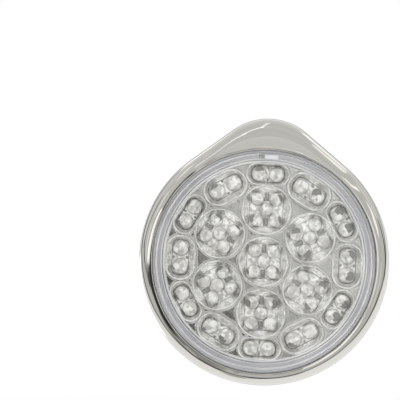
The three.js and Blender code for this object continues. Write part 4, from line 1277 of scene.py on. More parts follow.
    def make(self) -> None:
        """Build everything that shows through the lens, and the lens."""
        self.reflector()
        self.lamps()
        self.carriers()
        inner, outer, rim = self.trim_inner, self.flange_radius, self.reflector_radius
        back, front = self.flange_front, self.reflector_front
        base, face, bead = front - self.bead_height, front - self.trim_drop, self.bead_round
        self.ring("trim_annulus", Finishes.TRIM, (inner, outer, back, face, 0.2), "trim_ring")
        self.ring("trim_bead_inner", Finishes.BEAD, (inner, inner + 1.3, base, front + 0.1, bead))
        self.ring("trim_bead_outer", Finishes.BEAD, (outer - 1.2, outer, base, front + 0.15, bead))
        # the reflector's rounded rim takes the paler bead finish instead of the silvered one: a painted
        # highlight line
        self.ring("reflector_rim", Finishes.BEAD, (rim - 2.0, rim - 0.1, front - 1.2, front + 0.5, 0.6))
        self.hand_over(self.tab("trim_tab", self.tab_bar, self.tab_height), Finishes.TAB, sharp=30)
        self.hand_over(self.tab("trim_slot", self.tab_slot, self.tab_height / 2), Finishes.BRIDGE, sharp=30)
        seal, lens, rim = self.seal_inner, self.lens_radius, self.form.opening
        foot, back, front = self.seal_back, self.lens_back, self.lens_front
        self.ring("lens_seal", Finishes.SEAL, (seal, lens, foot + 0.05, back - 0.05, 0.2), "lens_gasket")
        # dark rings in the gap at the seal's inner edge and in the gap between lens and bezel: painted shade
        self.ring("seal_lip", Finishes.GAP_SHADE, (seal - 0.1, seal + 0.35, foot, back - 0.02, 0.08))
        self.ring("seal_edge", Finishes.GAP_SHADE, (lens - 0.05, rim - 0.02, back, front - 0.4, 0.08))
        rows = [
            (0, back),
            (lens - 0.08, back, 0, 0.2),
            (lens - 0.08, front - self.lens_step, 0, 0.2),
            (seal, front - self.lens_step, 0, 0.15),
            (seal - self.lens_step, front, 0, 0.3),
            (0, front),
        ]
        lens_disc = Skin().loft(turned(rows, count=256)).build("lens_disc")
        self.hand_over(lens_disc, Finishes.LENS, "lens_cover", sharp=40)
        self.dress(Finishes.LAMP_BOARD, "led_board")
        self.dress(Finishes.STEEL, "clamp_ring", *[f"clamp_screw_{i + 1}" for i in range(4)])


@dataclass
class Grower:
    """Something that a geometry node tree grows into a plain mesh; its sizes are the tree's inputs."""

    def shape(self, graph: Graph, value: object) -> Socket:
        """Add the nodes that make the shape from the tree's inputs."""
        raise NotImplementedError

    @staticmethod
    def upright(graph: Graph, grown: Socket, place: Socket | tuple = (0.0, 0.0, 0.0)) -> Socket:
        """Geometry turned so that what pointed up now points to the front, at a place."""
        values = {"Geometry": grown, "Translation": place, "Rotation": (math.pi / 2, 0.0, 0.0)}
        return graph.out("GeometryNodeTransform", values)

    def tree(self, sizes: dict[str, float]) -> Tree:
        """Build the tree, the first time: the shape's nodes, then plain geometry in its finish.

        Args:
            sizes: its inputs by name, with whole numbers for counts.

        Returns:
            The tree.
        """
        name = type(self).__name__
        if name not in bpy.data.node_groups:
            ends = {"Geometry": "Geometry"}
            inputs = {label: "Int" if isinstance(size, int) else "Float" for label, size in sizes.items()}
            graph, value, result = start_tree(name, "Geometry", ends | inputs | {"Finish": "Material"}, ends)
            whole = graph.out("GeometryNodeRealizeInstances", {"Geometry": self.shape(graph, value)})
            whole = {"Geometry": whole, "Material": value["Finish"]}
            graph.link(graph.out("GeometryNodeSetMaterial", whole), result[0])
        return bpy.data.node_groups[name]

    def grow(self, name: str, finish: Finish, mesh: Mesh | None = None) -> Piece:
        """Run the tree and keep what it makes.

        Args:
            name: its name.
            finish: what it is made of.
            mesh: the points that the tree starts from, where it needs any.

        Returns:
            The piece.
        """
        piece = new_object(name, mesh or bpy.data.meshes.new(name))
        values = {
            label.replace("_", " ").title(): size if isinstance(size, int) else size * MM
            for label, size in vars(self).items()}
        grow = piece.modifiers.new("grow", "NODES")
        grow.node_group = self.tree(values)
        values["Finish"] = finish.material()
        for item in grow.node_group.interface.items_tree:
            if item.in_out == "INPUT" and item.name in values:
                grow[item.identifier] = values[item.name]
        piece.update_tag()
        return plain_mesh(piece)


@dataclass
class SweptRing(Grower):
    """A flat ring with rounded edges, swept round the depth axis."""

    radius: float
    width: float
    height: float
    edge: float
    depth: float
    segments: int = 256

    @classmethod
    def between(cls, inner: float, outer: float, back: float, front: float, edge: float) -> SweptRing:
        """A ring between two radii and two depths, with its edges rounded."""
        return cls((inner + outer) / 2, outer - inner, front - back, edge, (front + back) / 2)

    def shape(self, graph: Graph, value: object) -> Socket:
        """A circle, a rectangle with its corners filleted, and the sweep.

        Args:
            graph: the tree.
            value: its inputs.

        Returns:
            The geometry.
        """
        path = {"Resolution": value["Segments"], "Radius": value["Radius"]}
        path = graph.out("GeometryNodeCurvePrimitiveCircle", path)
        section = {"Width": value["Width"], "Height": value["Height"]}
        section = graph.out("GeometryNodeCurvePrimitiveQuadrilateral", section)
        fillet = {"Curve": section, "Radius": value["Edge"], "Limit Radius": True, "Count": 4}
        fillet = graph.out("GeometryNodeFilletCurve", fillet, mode="POLY")
        sweep = graph.out("GeometryNodeCurveToMesh", {"Curve": path, "Profile Curve": fillet})
        place = graph.out("CombineXYZ", {"Y": graph.math("MULTIPLY", value["Depth"], -1.0)})
        return self.upright(graph, sweep, place)


@dataclass
class LampTree(Grower):
    """Lamps set out on points: barrel, dome and a flange at the foot."""

    barrel: float
    height: float
    radius: float = 5.4
    sides: int = 32
    flange: float = 0.15
    flange_height: float = 1.0

    def tube(self, graph: Graph, value: object, radius: Socket, height: Socket, parts: int) -> Node:
        """A closed cylinder that stands on its middle, with this many parts along its side."""
        sizes = {"Vertices": value["Sides"], "Side Segments": parts, "Radius": radius, "Depth": height}
        return graph.add("GeometryNodeMeshCylinder", sizes, fill_type="NGON")

    def moved(self, graph: Graph, part: Socket, up: Socket, **values: Socket) -> Socket:
        """A part moved up, and scaled where Scale is given."""
        values |= {"Geometry": part, "Translation": graph.out("CombineXYZ", {"Z": up})}
        return graph.out("GeometryNodeTransform", values)

    def joined(self, graph: Graph, *parts: Socket) -> Socket:
        """Join several geometries.

        Args:
            graph: the tree.
            parts: the geometries.

        Returns:
            The whole.
        """
        whole = graph.add("GeometryNodeJoinGeometry")
        for part in parts:
            graph.link(part, whole.inputs[0])
        return whole.outputs[0]

    def shape(self, graph: Graph, value: object) -> Socket:
        """One lamp from a cylinder, half a sphere and a flange, then a copy on each point.

        Args:
            graph: the tree.
            value: its inputs.

        Returns:
            The geometry.
        """
        radius, barrel, foot_height = value["Radius"], value["Barrel"], value["Flange Height"]
        tube = self.tube(graph, value, radius, barrel, 2)
        bare = {"Geometry": tube.outputs["Mesh"], "Selection": tube.outputs["Top"]}
        bare = graph.out("GeometryNodeDeleteGeometry", bare, domain="FACE")
        lifted = self.moved(graph, bare, graph.math("MULTIPLY", barrel, 0.5))
        ball = {"Segments": value["Sides"], "Rings": 20, "Radius": 1.0}
        ball = graph.out("GeometryNodeMeshUVSphere", ball)
        place = graph.out("GeometryNodeInputPosition")
        low = graph.math("LESS_THAN", graph.out("SeparateXYZ", {0: place}, 2), -0.01)
        dome = graph.out("GeometryNodeDeleteGeometry", {"Geometry": ball, "Selection": low}, domain="POINT")
        tall = graph.math("SUBTRACT", value["Height"], barrel)
        stretch = graph.out("CombineXYZ", {"X": radius, "Y": radius, "Z": tall})
        crown = self.moved(graph, dome, barrel, Scale=stretch)
        foot = self.tube(graph, value, graph.math("ADD", radius, value["Flange"]), foot_height, 1)
        seated = self.moved(graph, foot.outputs["Mesh"], graph.math("MULTIPLY", foot_height, 0.5))
        merged = {"Geometry": self.joined(graph, lifted, crown), "Distance": 2e-6}
        lamp = self.joined(graph, graph.out("GeometryNodeMergeByDistance", merged), seated)
        across = graph.vector("MULTIPLY", place, (1.0, 1.0, 0.0))
        across = {0: across, "Scale": graph.math("DIVIDE", 1.0, radius)}
        across = graph.out("VectorMath", across, operation="SCALE")
        marked = {"Geometry": lamp, "Name": "axis_place", "Value": across}
        kind = {"data_type": "FLOAT_VECTOR"}
        marked = graph.out("GeometryNodeStoreNamedAttribute", marked, domain="POINT", **kind)
        spots = graph.out("GeometryNodeMeshToPoints", {"Mesh": value["Geometry"]})
        scale = graph.out("GeometryNodeInputNamedAttribute", {"Name": "lamp_size"}, **kind)
        copies = {"Points": spots, "Instance": self.upright(graph, marked), "Scale": scale}
        return graph.out("GeometryNodeInstanceOnPoints", copies)

    def spots(self, places: np.ndarray, depth: float, sizes: np.ndarray, shades: np.ndarray) -> Mesh:
        """The points that the lamps stand on.

        Args:
            places: where they are, in the front view.
            depth: depth of the lamps' feet.
            sizes: the lamps' radii.
            shades: for each, the way that its painted shade falls and where the shade begins.

        Returns:
            The mesh.
        """
        mesh = bpy.data.meshes.new("lamp_spots")
        mesh.from_pydata((at_depth(places, depth) * MM).tolist(), [], [])
        wide = sizes / self.radius
        for label, rows in (("lamp_size", np.c_[wide, np.ones(len(wide)), wide]), ("shade_way", shades)):
            mesh.attributes.new(label, "FLOAT_VECTOR", "POINT").data.foreach_set("vector", rows.ravel())
        return mesh


@dataclass
class SideBand(SubAssembly):
    """The satin band with its two buttons, their indicators and the power inlet."""

    lip_radius: float = 88.1
    lip_rise: float = 63.9
    middle: float = 29.0
    middle_radius: float = 95.0
    button_angles: dict[str, float] = field(default_factory=lambda: {"power": -47.0, "mode": -77.0})
    indicator_angles: dict[str, float] = field(default_factory=lambda: {"power": -55.806, "mode": -68.194})
    button_length: float = 22.0
    button_width: float = 7.0
    button_proud: float = 0.9
    button_flange: float = 1.0
    edge_share: float = 0.18
    edge_drop: float = 0.5
    button_depth: float = 5.9
    stem_radius: float = 2.0
    stem_length: float = 1.0
    switch_base: float = 11.4
    board_length: float = 32.0
    board_width: float = 11.0
    post: float = 2.5
    post_sink: float = 0.6
    indicator_radius: float = 1.1
    indicator_length: float = 4.6
    indicator_proud: float = 0.1
    inlet_angle: float = 180.0
    inlet_length: float = 12.0
    inlet_width: float = 9.0
    inlet_height: float = 13.0
    inlet_recess: float = 2.0
    bore_radius: float = 2.8
    bore_depth: float = 9.0
    pin_radius: float = 0.9
    pin_length: float = 8.0
    cut_start: float = -6.0

    def world(self, outline: np.ndarray, degrees: float, out: np.ndarray | float) -> np.ndarray:
        """Turn places on the band into the device's frame.

        Args:
            outline: rows of distance along the band and toward the back.
            degrees: their middle's angle from the tip.
            out: distance from the centre.

        Returns:
            The places.
        """
        along, back = outline.T
        sine, cosine = math.sin(math.radians(degrees)), math.cos(math.radians(degrees))
        return np.c_[along * cosine + out * sine, back - self.middle, out * cosine - along * sine]

    def level(self, outline: np.ndarray, degrees: float, inset: float) -> np.ndarray:
        """A flat outline on the band, so far inside the band's middle radius."""
        return self.world(outline, degrees, self.middle_radius - inset)

    def on_cone(self, outline: np.ndarray, degrees: float, proud: float) -> np.ndarray:
        """An outline laid on the band's face, so far outside it."""
        radius = self.form.band_radius(self.middle - outline[:, 1])
        return self.world(outline, degrees, np.sqrt(np.square(radius + proud) - np.square(outline[:, 0])))

    def block(self, name: str, degrees: float, *rows: tuple[np.ndarray, float]) -> Piece:
        """A solid through flat outlines, each with its inset from the band's middle radius."""
        return Skin().loft([self.level(outline, degrees, inset) for outline, inset in rows]).build(name)

    def band(self) -> None:
        """Build the band, with slots for what passes through it."""
        form, rise = self.form, self.form.tip_rise
        lip_end = form.band_rear - form.lip_height
        inner = form.band_radius(form.band_rear + form.lip_thickness) - form.wall
        between = np.linspace(form.band_rear + 2, form.band_front - 2, 8)
        rows = [
            (form.band_rear_radius, form.band_rear, rise, form.seam_rounding),
            *[(form.band_radius(depth), depth, rise) for depth in between],
            (form.band_front_radius, form.band_front, rise, form.seam_rounding),
            (form.band_front_radius - form.wall, form.band_front, rise, 0.2),
            (inner, form.band_rear + form.lip_thickness, rise),
            (self.lip_radius - form.lip_thickness, lip_end, self.lip_rise, 0.2),
            (self.lip_radius, lip_end, self.lip_rise, 0.2),
            (form.band_rear_radius - form.wall - form.fit, form.band_rear, rise),
        ]
        slack = 2 * form.fit
        slot = pill(self.button_length + slack, self.button_width + slack)
        hole = disc(self.indicator_radius + form.fit, 32)
        openings = [(slot, degrees) for degrees in self.button_angles.values()]
        openings += [(hole, degrees) for degrees in self.indicator_angles.values()]
        inlet = rectangle(self.inlet_length + slack, self.inlet_width + slack, 0.8)
        openings.append((inlet, self.inlet_angle))
        cutters = [
            self.block("opening", degrees, (outline, self.cut_start), (outline, self.button_depth))
            for outline, degrees in openings]
        band = carve(form.skin(rows).build("band_shell"), cutters)
        self.hand_over(band, Finishes.SATIN_SILVER, "side_band", sharp=40)

    def posts(self) -> None:
        """Build the posts behind the band that carry the switch boards."""
        skin = Skin()
        corner = np.array([self.board_length - self.post, self.board_width - self.post]) / 2
        for degrees, a, b in product(self.button_angles.values(), (-1, 1), (-1, 1)):
            outline = rectangle(self.post, self.post, 0.3, 3) + corner * (a, b)
            foot = self.on_cone(outline, degrees, self.post_sink - self.form.wall)
            skin.loft([foot, self.level(outline, degrees, self.switch_base)])
        self.hand_over(skin.build("switch_posts"), Finishes.SATIN_SILVER)

    def button(self, name: str, body: Body) -> None:
        """Build a button: its face follows the band, with a rounded edge, a flange behind it and a stem.

        Args:
            name: which button.
            body: the body it moves.
        """
        degrees = self.button_angles[name]
        length, width = self.button_length, self.button_width
        edge = self.edge_share * width / 2
        rim = [((1 - share) * width / 2, 0.0) for share in np.linspace(0.02, 1 - self.edge_share, 9)]
        for turn in np.linspace(0, math.pi / 2, 6)[1:]:
            rim.append((edge * (1 - math.sin(turn)), self.edge_drop * (1 - math.cos(turn))))
        loops = [
            self.on_cone(pill(length - 2 * inset, width - 2 * inset), degrees, self.button_proud - drop)
            for inset, drop in rim]
        flange = pill(length + 2 * self.button_flange, width + 2 * self.button_flange)
        under = -self.form.wall - self.form.fit
        loops += [self.on_cone(outline, degrees, under) for outline in (pill(length, width), flange)]
        loops.append(self.level(flange, degrees, self.button_depth))
        for inset in (self.button_depth, self.button_depth + self.stem_length):
            loops.append(self.level(disc(self.stem_radius), degrees, inset))
        piece = Skin().loft(loops).build(f"{name}_cap")
        self.hand_over(piece, Finishes.SATIN_SILVER, f"{name}_button", body=body)

    def indicator(self, name: str) -> None:
        """Build the small round indicator beside a button."""
        rows = []
        for turn in np.linspace(0.06, math.pi / 2, 6):
            inset = 0.25 * (1 - math.cos(turn)) - self.indicator_proud
            rows.append((disc(self.indicator_radius * math.sin(turn), 32), inset))
        rows.append((disc(self.indicator_radius, 32), self.indicator_length))
        piece = self.block(f"{name}_light", self.indicator_angles[name], *rows)
        self.hand_over(piece, Finishes.BLACK, f"{name}_indicator", sharp=50)

    def inlet(self) -> None:
        """Build the power inlet: a moulded block with a bore, and the contact pin in it."""
        degrees, start, end = self.inlet_angle, self.inlet_recess, self.inlet_recess + self.bore_depth
        face = rectangle(self.inlet_length - 0.5, self.inlet_width - 0.5, 0.6)
        side = rectangle(self.inlet_length, self.inlet_width, 0.8)
        body = self.block(
            "inlet_body", degrees, (face, start), (side, start + 0.25), (side, start + self.inlet_height))
        bore = disc(self.bore_radius, 48)
        carve(body, [self.block("inlet_bore", degrees, (bore, start - 1), (bore, end))])
        self.hand_over(body, Finishes.BLACK, "dc_socket", sharp=40)
        tip, pin = end - self.pin_length, disc(self.pin_radius, 24)
        rows = [(pin * 0.5, tip), (pin * 0.87, tip + 0.15), (pin, tip + 0.5), (pin, end + 1)]
        self.hand_over(self.block("inlet_pin", degrees, *rows), Finishes.STEEL, sharp=50)

    def make(self) -> None:
        """Build the band and what it carries."""
        self.band()
        self.posts()
        for name, body in (("power", Body.POWER_KEY), ("mode", Body.MODE_KEY)):
            self.button(name, body)
            self.indicator(name)
            self.dress(Finishes.BLACK, f"{name}_switch")
            self.dress(Finishes.BOARD, f"{name}_switch_board")
        self.inlet()


@dataclass
class BackShell(SubAssembly):
    """The dark domed shell with the seat for the plate and the posts for the control board."""

    seat_outer: float = 52.3
    seat_inner: float = 46.5
    seat_back: float = 4.4
    plate_thickness: float = 2.4
    sweep: float = math.radians(78)
    post_radius: float = 3.0
    post_offset: float = 34.861
    board_depth: float = 20.0
    steps: int = 40
    inner_steps: int = 14

    def dome(self, share: float, wall: float) -> Place:
        """A point of the dome's section.

        Args:
            share: 0 at the plate, 1 at the seam.
            wall: 0 on the outer face, or the wall's thickness on the inner one.

        Returns:
            Its radius, depth and rise.
        """
        angle = self.sweep * share
        drop = (1 - math.cos(angle)) / (1 - math.cos(self.sweep))
        out = math.sin(angle) / math.sin(self.sweep)
        radius = self.seat_outer + (self.form.band_rear_radius - wall - self.seat_outer) * out
        return radius, wall + (self.form.band_rear - wall) * drop, self.form.tip_rise * out

    def make(self) -> None:
        """Build the shell with its posts."""
        outer = [self.dome(k / self.steps, 0.0) for k in range(self.steps + 1)]
        inner = [self.dome(k / self.inner_steps, self.form.wall) for k in range(1, self.inner_steps + 1)]
        skin = self.form.skin([
            (*outer[0], 0.35),
            *outer[1:-1],
            (*outer[-1], 0.7),
            *reversed(inner),
            (self.seat_outer + self.form.wall, self.seat_back),
            (self.seat_inner, self.seat_back, 0.0, 0.3),
            (self.seat_inner, self.plate_thickness, 0.0, 0.3),
            (self.seat_outer, self.plate_thickness),
        ])
        ends = [(self.post_radius, self.plate_thickness + 1), (self.post_radius, self.board_depth)]
        for centre in product((-self.post_offset, self.post_offset), repeat=2):
            skin.loft(turned(ends, centre, 24))
        self.hand_over(skin.build("back_shell"), Finishes.DARK_SATIN, "rear_shell", sharp=45)


@dataclass
class GripPlate(SubAssembly):
    """The round back plate with its oval finger dish, and the hinge's boss."""

    radius: float = 51.7
    seam: float = 0.55
    seam_depths: Pair = (0.35, 2.35)
    thickness: float = 2.4
    half_width: float = 37.2
    half_height: float = 42.0
    dish_depth: float = 7.0
    draft: float = 2.5
    edge: float = 0.6
    lip: float = 1.6
    lip_turn: float = math.radians(70)
    floor_round: float = 3.0
    knuckle_radius: float = 8.4
    knuckle_rise: float = 28.0
    knuckle_proud: float = 1.7
    count: int = 192

    def oval(self, inset: float, depth: float, grow: float = 0.0) -> np.ndarray:
        """An outline of the dish, so far inside its lip, at a depth and grown for its outer side."""
        sides = np.array([self.half_width, self.half_height]) - inset + grow
        return at_depth(circle(self.count) * sides, depth)

    def plate(self) -> None:
        """Build the plate and its dish in one piece."""
        wall, floor = self.thickness, self.dish_depth
        slope = self.draft / floor
        loops = [self.oval(self.half_width * 0.6, floor + wall)]
        loops.append(self.oval(self.draft + 1.5, floor + wall, wall))
        loops += [self.oval(slope * depth, depth, wall) for depth in (floor + wall - 1.5, wall)]
        rim = [
            (self.half_height + wall, wall),
            (self.radius, wall, 0.0, self.edge),
            (self.radius, 0, 0.0, self.edge),
            (self.half_height + 3, 0),
        ]
        loops += turned(rim, count=self.count, steps=6)[1:-1]
        for turn in np.linspace(0, self.lip_turn, 9):
            inset = self.lip * (math.sin(turn) - math.sin(self.lip_turn))
            loops.append(self.oval(inset, self.lip * (1 - math.cos(turn))))
        lip_end, wall_end = self.lip * (1 - math.cos(self.lip_turn)), floor - self.floor_round * 0.6
        loops += [self.oval(slope * depth, depth) for depth in np.linspace(lip_end, wall_end, 5)[1:]]
        curve = [(slope * wall_end, wall_end), (self.draft, floor), (self.draft + self.floor_round, floor)]
        loops += [self.oval(*bend(*np.array(curve), k / 8)) for k in range(1, 9)]
        loops += [self.oval(self.half_width * share, floor) for share in (0.5, 0.9)]
        self.hand_over(Skin().loft(loops).build("grip_plate"), Finishes.WHITE, "back_plate", sharp=40)

    def boss(self) -> None:
        """Build the hinge's boss: a satin disc with a soft edge and a slightly hollow face."""
        radius, face = self.knuckle_radius, -self.knuckle_proud
        rows = [
            (0, self.dish_depth),
            (radius, self.dish_depth),
            (radius, face, 0, 0.8),
            (radius - 1.6, face, 0, 0.6),
            (radius - 2.4, face + 0.18),
            (0, face + 0.3),
        ]
        boss = Skin().loft(turned(rows, (0, self.knuckle_rise), 96)).build("hinge_boss")
        self.hand_over(carve(boss, [HingeLine().cutter(12.0)]), Finishes.BEIGE, "hinge_knuckle", sharp=40)

    def make(self) -> None:
        """Build the plate, its seam and the boss, and dress the pin and screws."""
        self.plate()
        seam = SweptRing.between(self.radius, self.radius + self.seam, *self.seam_depths, 0.1)
        self.hand_over(seam.grow("plate_seam", Finishes.BLACK), Finishes.BLACK)
        self.boss()
        self.dress(Finishes.STEEL, "hinge_pin", *[f"plate_screw_{i + 1}" for i in range(4)])


@dataclass
class FingerRing(SubAssembly):
    """The plated ring that swings out on the hinge: two arms beside the boss and a flat foot."""

    inner_radius: float = 22.0
    half_width: float = 34.5
    half_height: float = 31.0
    top_round: float = 39.0
    foot_round: float = 36.5
    thickness: float = 8.0
    proud: float = 2.0
    bevel: float = 2.6
    arm_bevel: float = 1.0
    arm_middle: float = 3.0
    arm_reach: float = 13.0
    bevel_run: float = 12.0
    arm_inner: float = 9.1
    corner: float = 1.3
    pin_half_length: float = 17.8
    fine: float = 0.1
    spacing: int = 6

    def outline(self) -> np.ndarray:
        """The ring's outline at mid-thickness.

        Returns:
            Rows of two numbers in the back plane: the right side, the left side, then the bore.
        """
        mouth = math.asin(self.arm_inner / self.inner_radius)
        sides = [np.array([(self.arm_inner, self.half_height)])]
        for tall, end in ((self.top_round, 1), (self.foot_round, -1)):
            reach = math.asin(self.half_height / tall)
            turn = np.linspace(reach, 0, 60) if end > 0 else np.linspace(0, -reach, 60)[1:]
            sides.append(np.c_[self.half_width * np.cos(turn), tall * np.sin(turn)])
        right = np.concatenate(sides)
        turn = np.linspace(math.pi / 2 + mouth, 5 * math.pi / 2 - mouth, 200)
        bore = self.inner_radius * np.c_[np.cos(turn), np.sin(turn)]
        return self.soften(np.concatenate([right, (right * (-1.0, 1.0))[::-1], bore]))

    def soften(self, corners: np.ndarray) -> np.ndarray:
        """Space an outline's points evenly and round its corners.

        Args:
            corners: its points.

        Returns:
            The new points.
        """
        closed = np.concatenate([corners, corners[:1]])
        run = np.r_[0, np.cumsum(np.hypot(*np.diff(closed, axis=0).T))]
        even = np.linspace(0, run[-1], int(run[-1] / self.fine), endpoint=False)
        points = np.c_[np.interp(even, run, closed[:, 0]), np.interp(even, run, closed[:, 1])]
        reach = int(self.corner / self.fine)
        kernel = np.hanning(2 * reach + 3)[1:-1]
        kernel /= kernel.sum()
        padded = np.concatenate([points[-reach:], points, points[:reach]])
        soft = np.c_[np.convolve(padded[:, 0], kernel, "valid"), np.convolve(padded[:, 1], kernel, "valid")]
        return soft[:: self.spacing]

    def ring(self) -> Piece:
        """The ring, with its bevel rounded and narrower near the arms' ends.

        Returns:
            The piece.
        """
        outline = self.outline()
        ahead, behind = np.roll(outline, -1, axis=0), np.roll(outline, 1, axis=0)
        way = ahead - behind
        way /= np.hypot(*way.T)[:, None]
        inward = np.c_[way[:, 1], -way[:, 0]]
        if np.sum(outline[:, 0] * ahead[:, 1] - ahead[:, 0] * outline[:, 1]) > 0:
            inward = -inward
        gap = np.hypot(outline[:, 0], outline[:, 1] - self.half_height + self.arm_middle) - self.arm_reach
        bevel = self.arm_bevel + (self.bevel - self.arm_bevel) * ease(np.clip(gap / self.bevel_run, 0, 1))
        for _ in range(6):
            bevel = (np.roll(bevel, 1) + bevel + np.roll(bevel, -1)) / 3
        loops = []
        for face, sign in ((self.proud - self.thickness, 1), (self.proud, -1)):
            for turn in np.linspace(0, math.pi / 2, 9)[::sign]:
                place = outline + inward * (bevel * (1 - math.sin(turn)))[:, None]
                loops.append(np.c_[place[:, 0], face + sign * bevel * (1 - math.cos(turn)), place[:, 1]])
        skin = Skin().loft(loops, capped=False)
        for loop in (loops[0], loops[-1]):
            flat = [Vector((x, z)) for x, _, z in loop]
            places, _, inside, *_ = delaunay_2d_cdt(flat, neighbours(len(flat)), [], 1, 1e-7)
            skin.add(np.array([(p.x, loop[0, 1], p.y) for p in places]), [tuple(face) for face in inside])
        return skin.build("finger_ring")

    def make(self) -> None:
        """Build the ring with the bores for its pin."""
        ring = carve(self.ring(), [HingeLine().cutter(self.pin_half_length)])
        self.hand_over(ring, Finishes.RING_CHROME, "ring_handle", body=Body.RING, sharp=38)


@dataclass
class Electronics(SubAssembly):
    """What lies inside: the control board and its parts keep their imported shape."""

    def make(self) -> None:
        """Dress the inner nodes."""
        self.dress(Finishes.BOARD, "control_board")
        self.dress(Finishes.BLACK, "controller_chip", "buzzer")
        self.dress(Finishes.LEAD_WHITE, "control_connector", "lamp_connector", "ribbon_cable")
        self.dress(Finishes.STEEL, *[f"board_screw_{i + 1}" for i in range(4)])


# Studio


@dataclass(frozen=True)
class Streak:
    """A bright or dark strip of the studio between two directions seen from the device.

    Around is clockwise from straight up, seen from the front, and polar is from straight ahead of the lamps.
    These, the strip's half-width and the softness of its edge are in degrees.
    """

    around: float
    polar: float
    end_around: float
    end_polar: float
    half: float
    change: float
    soft: float = 2.0

    def light(self, graph: Graph, around: Socket, polar: Socket) -> Socket:
        """The change of light that the streak makes.

        Args:
            graph: the tree.
            around: output that gives the angle around.
            polar: output that gives the polar angle.

        Returns:
            The change's output.
        """
        wide, tall = self.end_around - self.around, self.end_polar - self.polar
        square = wide * wide + tall * tall
        off = graph.math("WRAP", graph.math("SUBTRACT", around, self.around), 180.0, -180.0)
        up = graph.math("SUBTRACT", polar, self.polar)
        share = graph.math("MULTIPLY", up, tall / square)
        share = graph.math("MULTIPLY_ADD", off, wide / square, share, clamp=True)
        across = graph.math("MULTIPLY_ADD", share, -wide, off)
        along = graph.math("MULTIPLY_ADD", share, -tall, up)
        gap = graph.math("MULTIPLY_ADD", across, across, graph.math("MULTIPLY", along, along))
        gap = graph.math("SQRT", gap)
        return graph.step(gap, self.half, self.half + self.soft, self.change, 0.0)


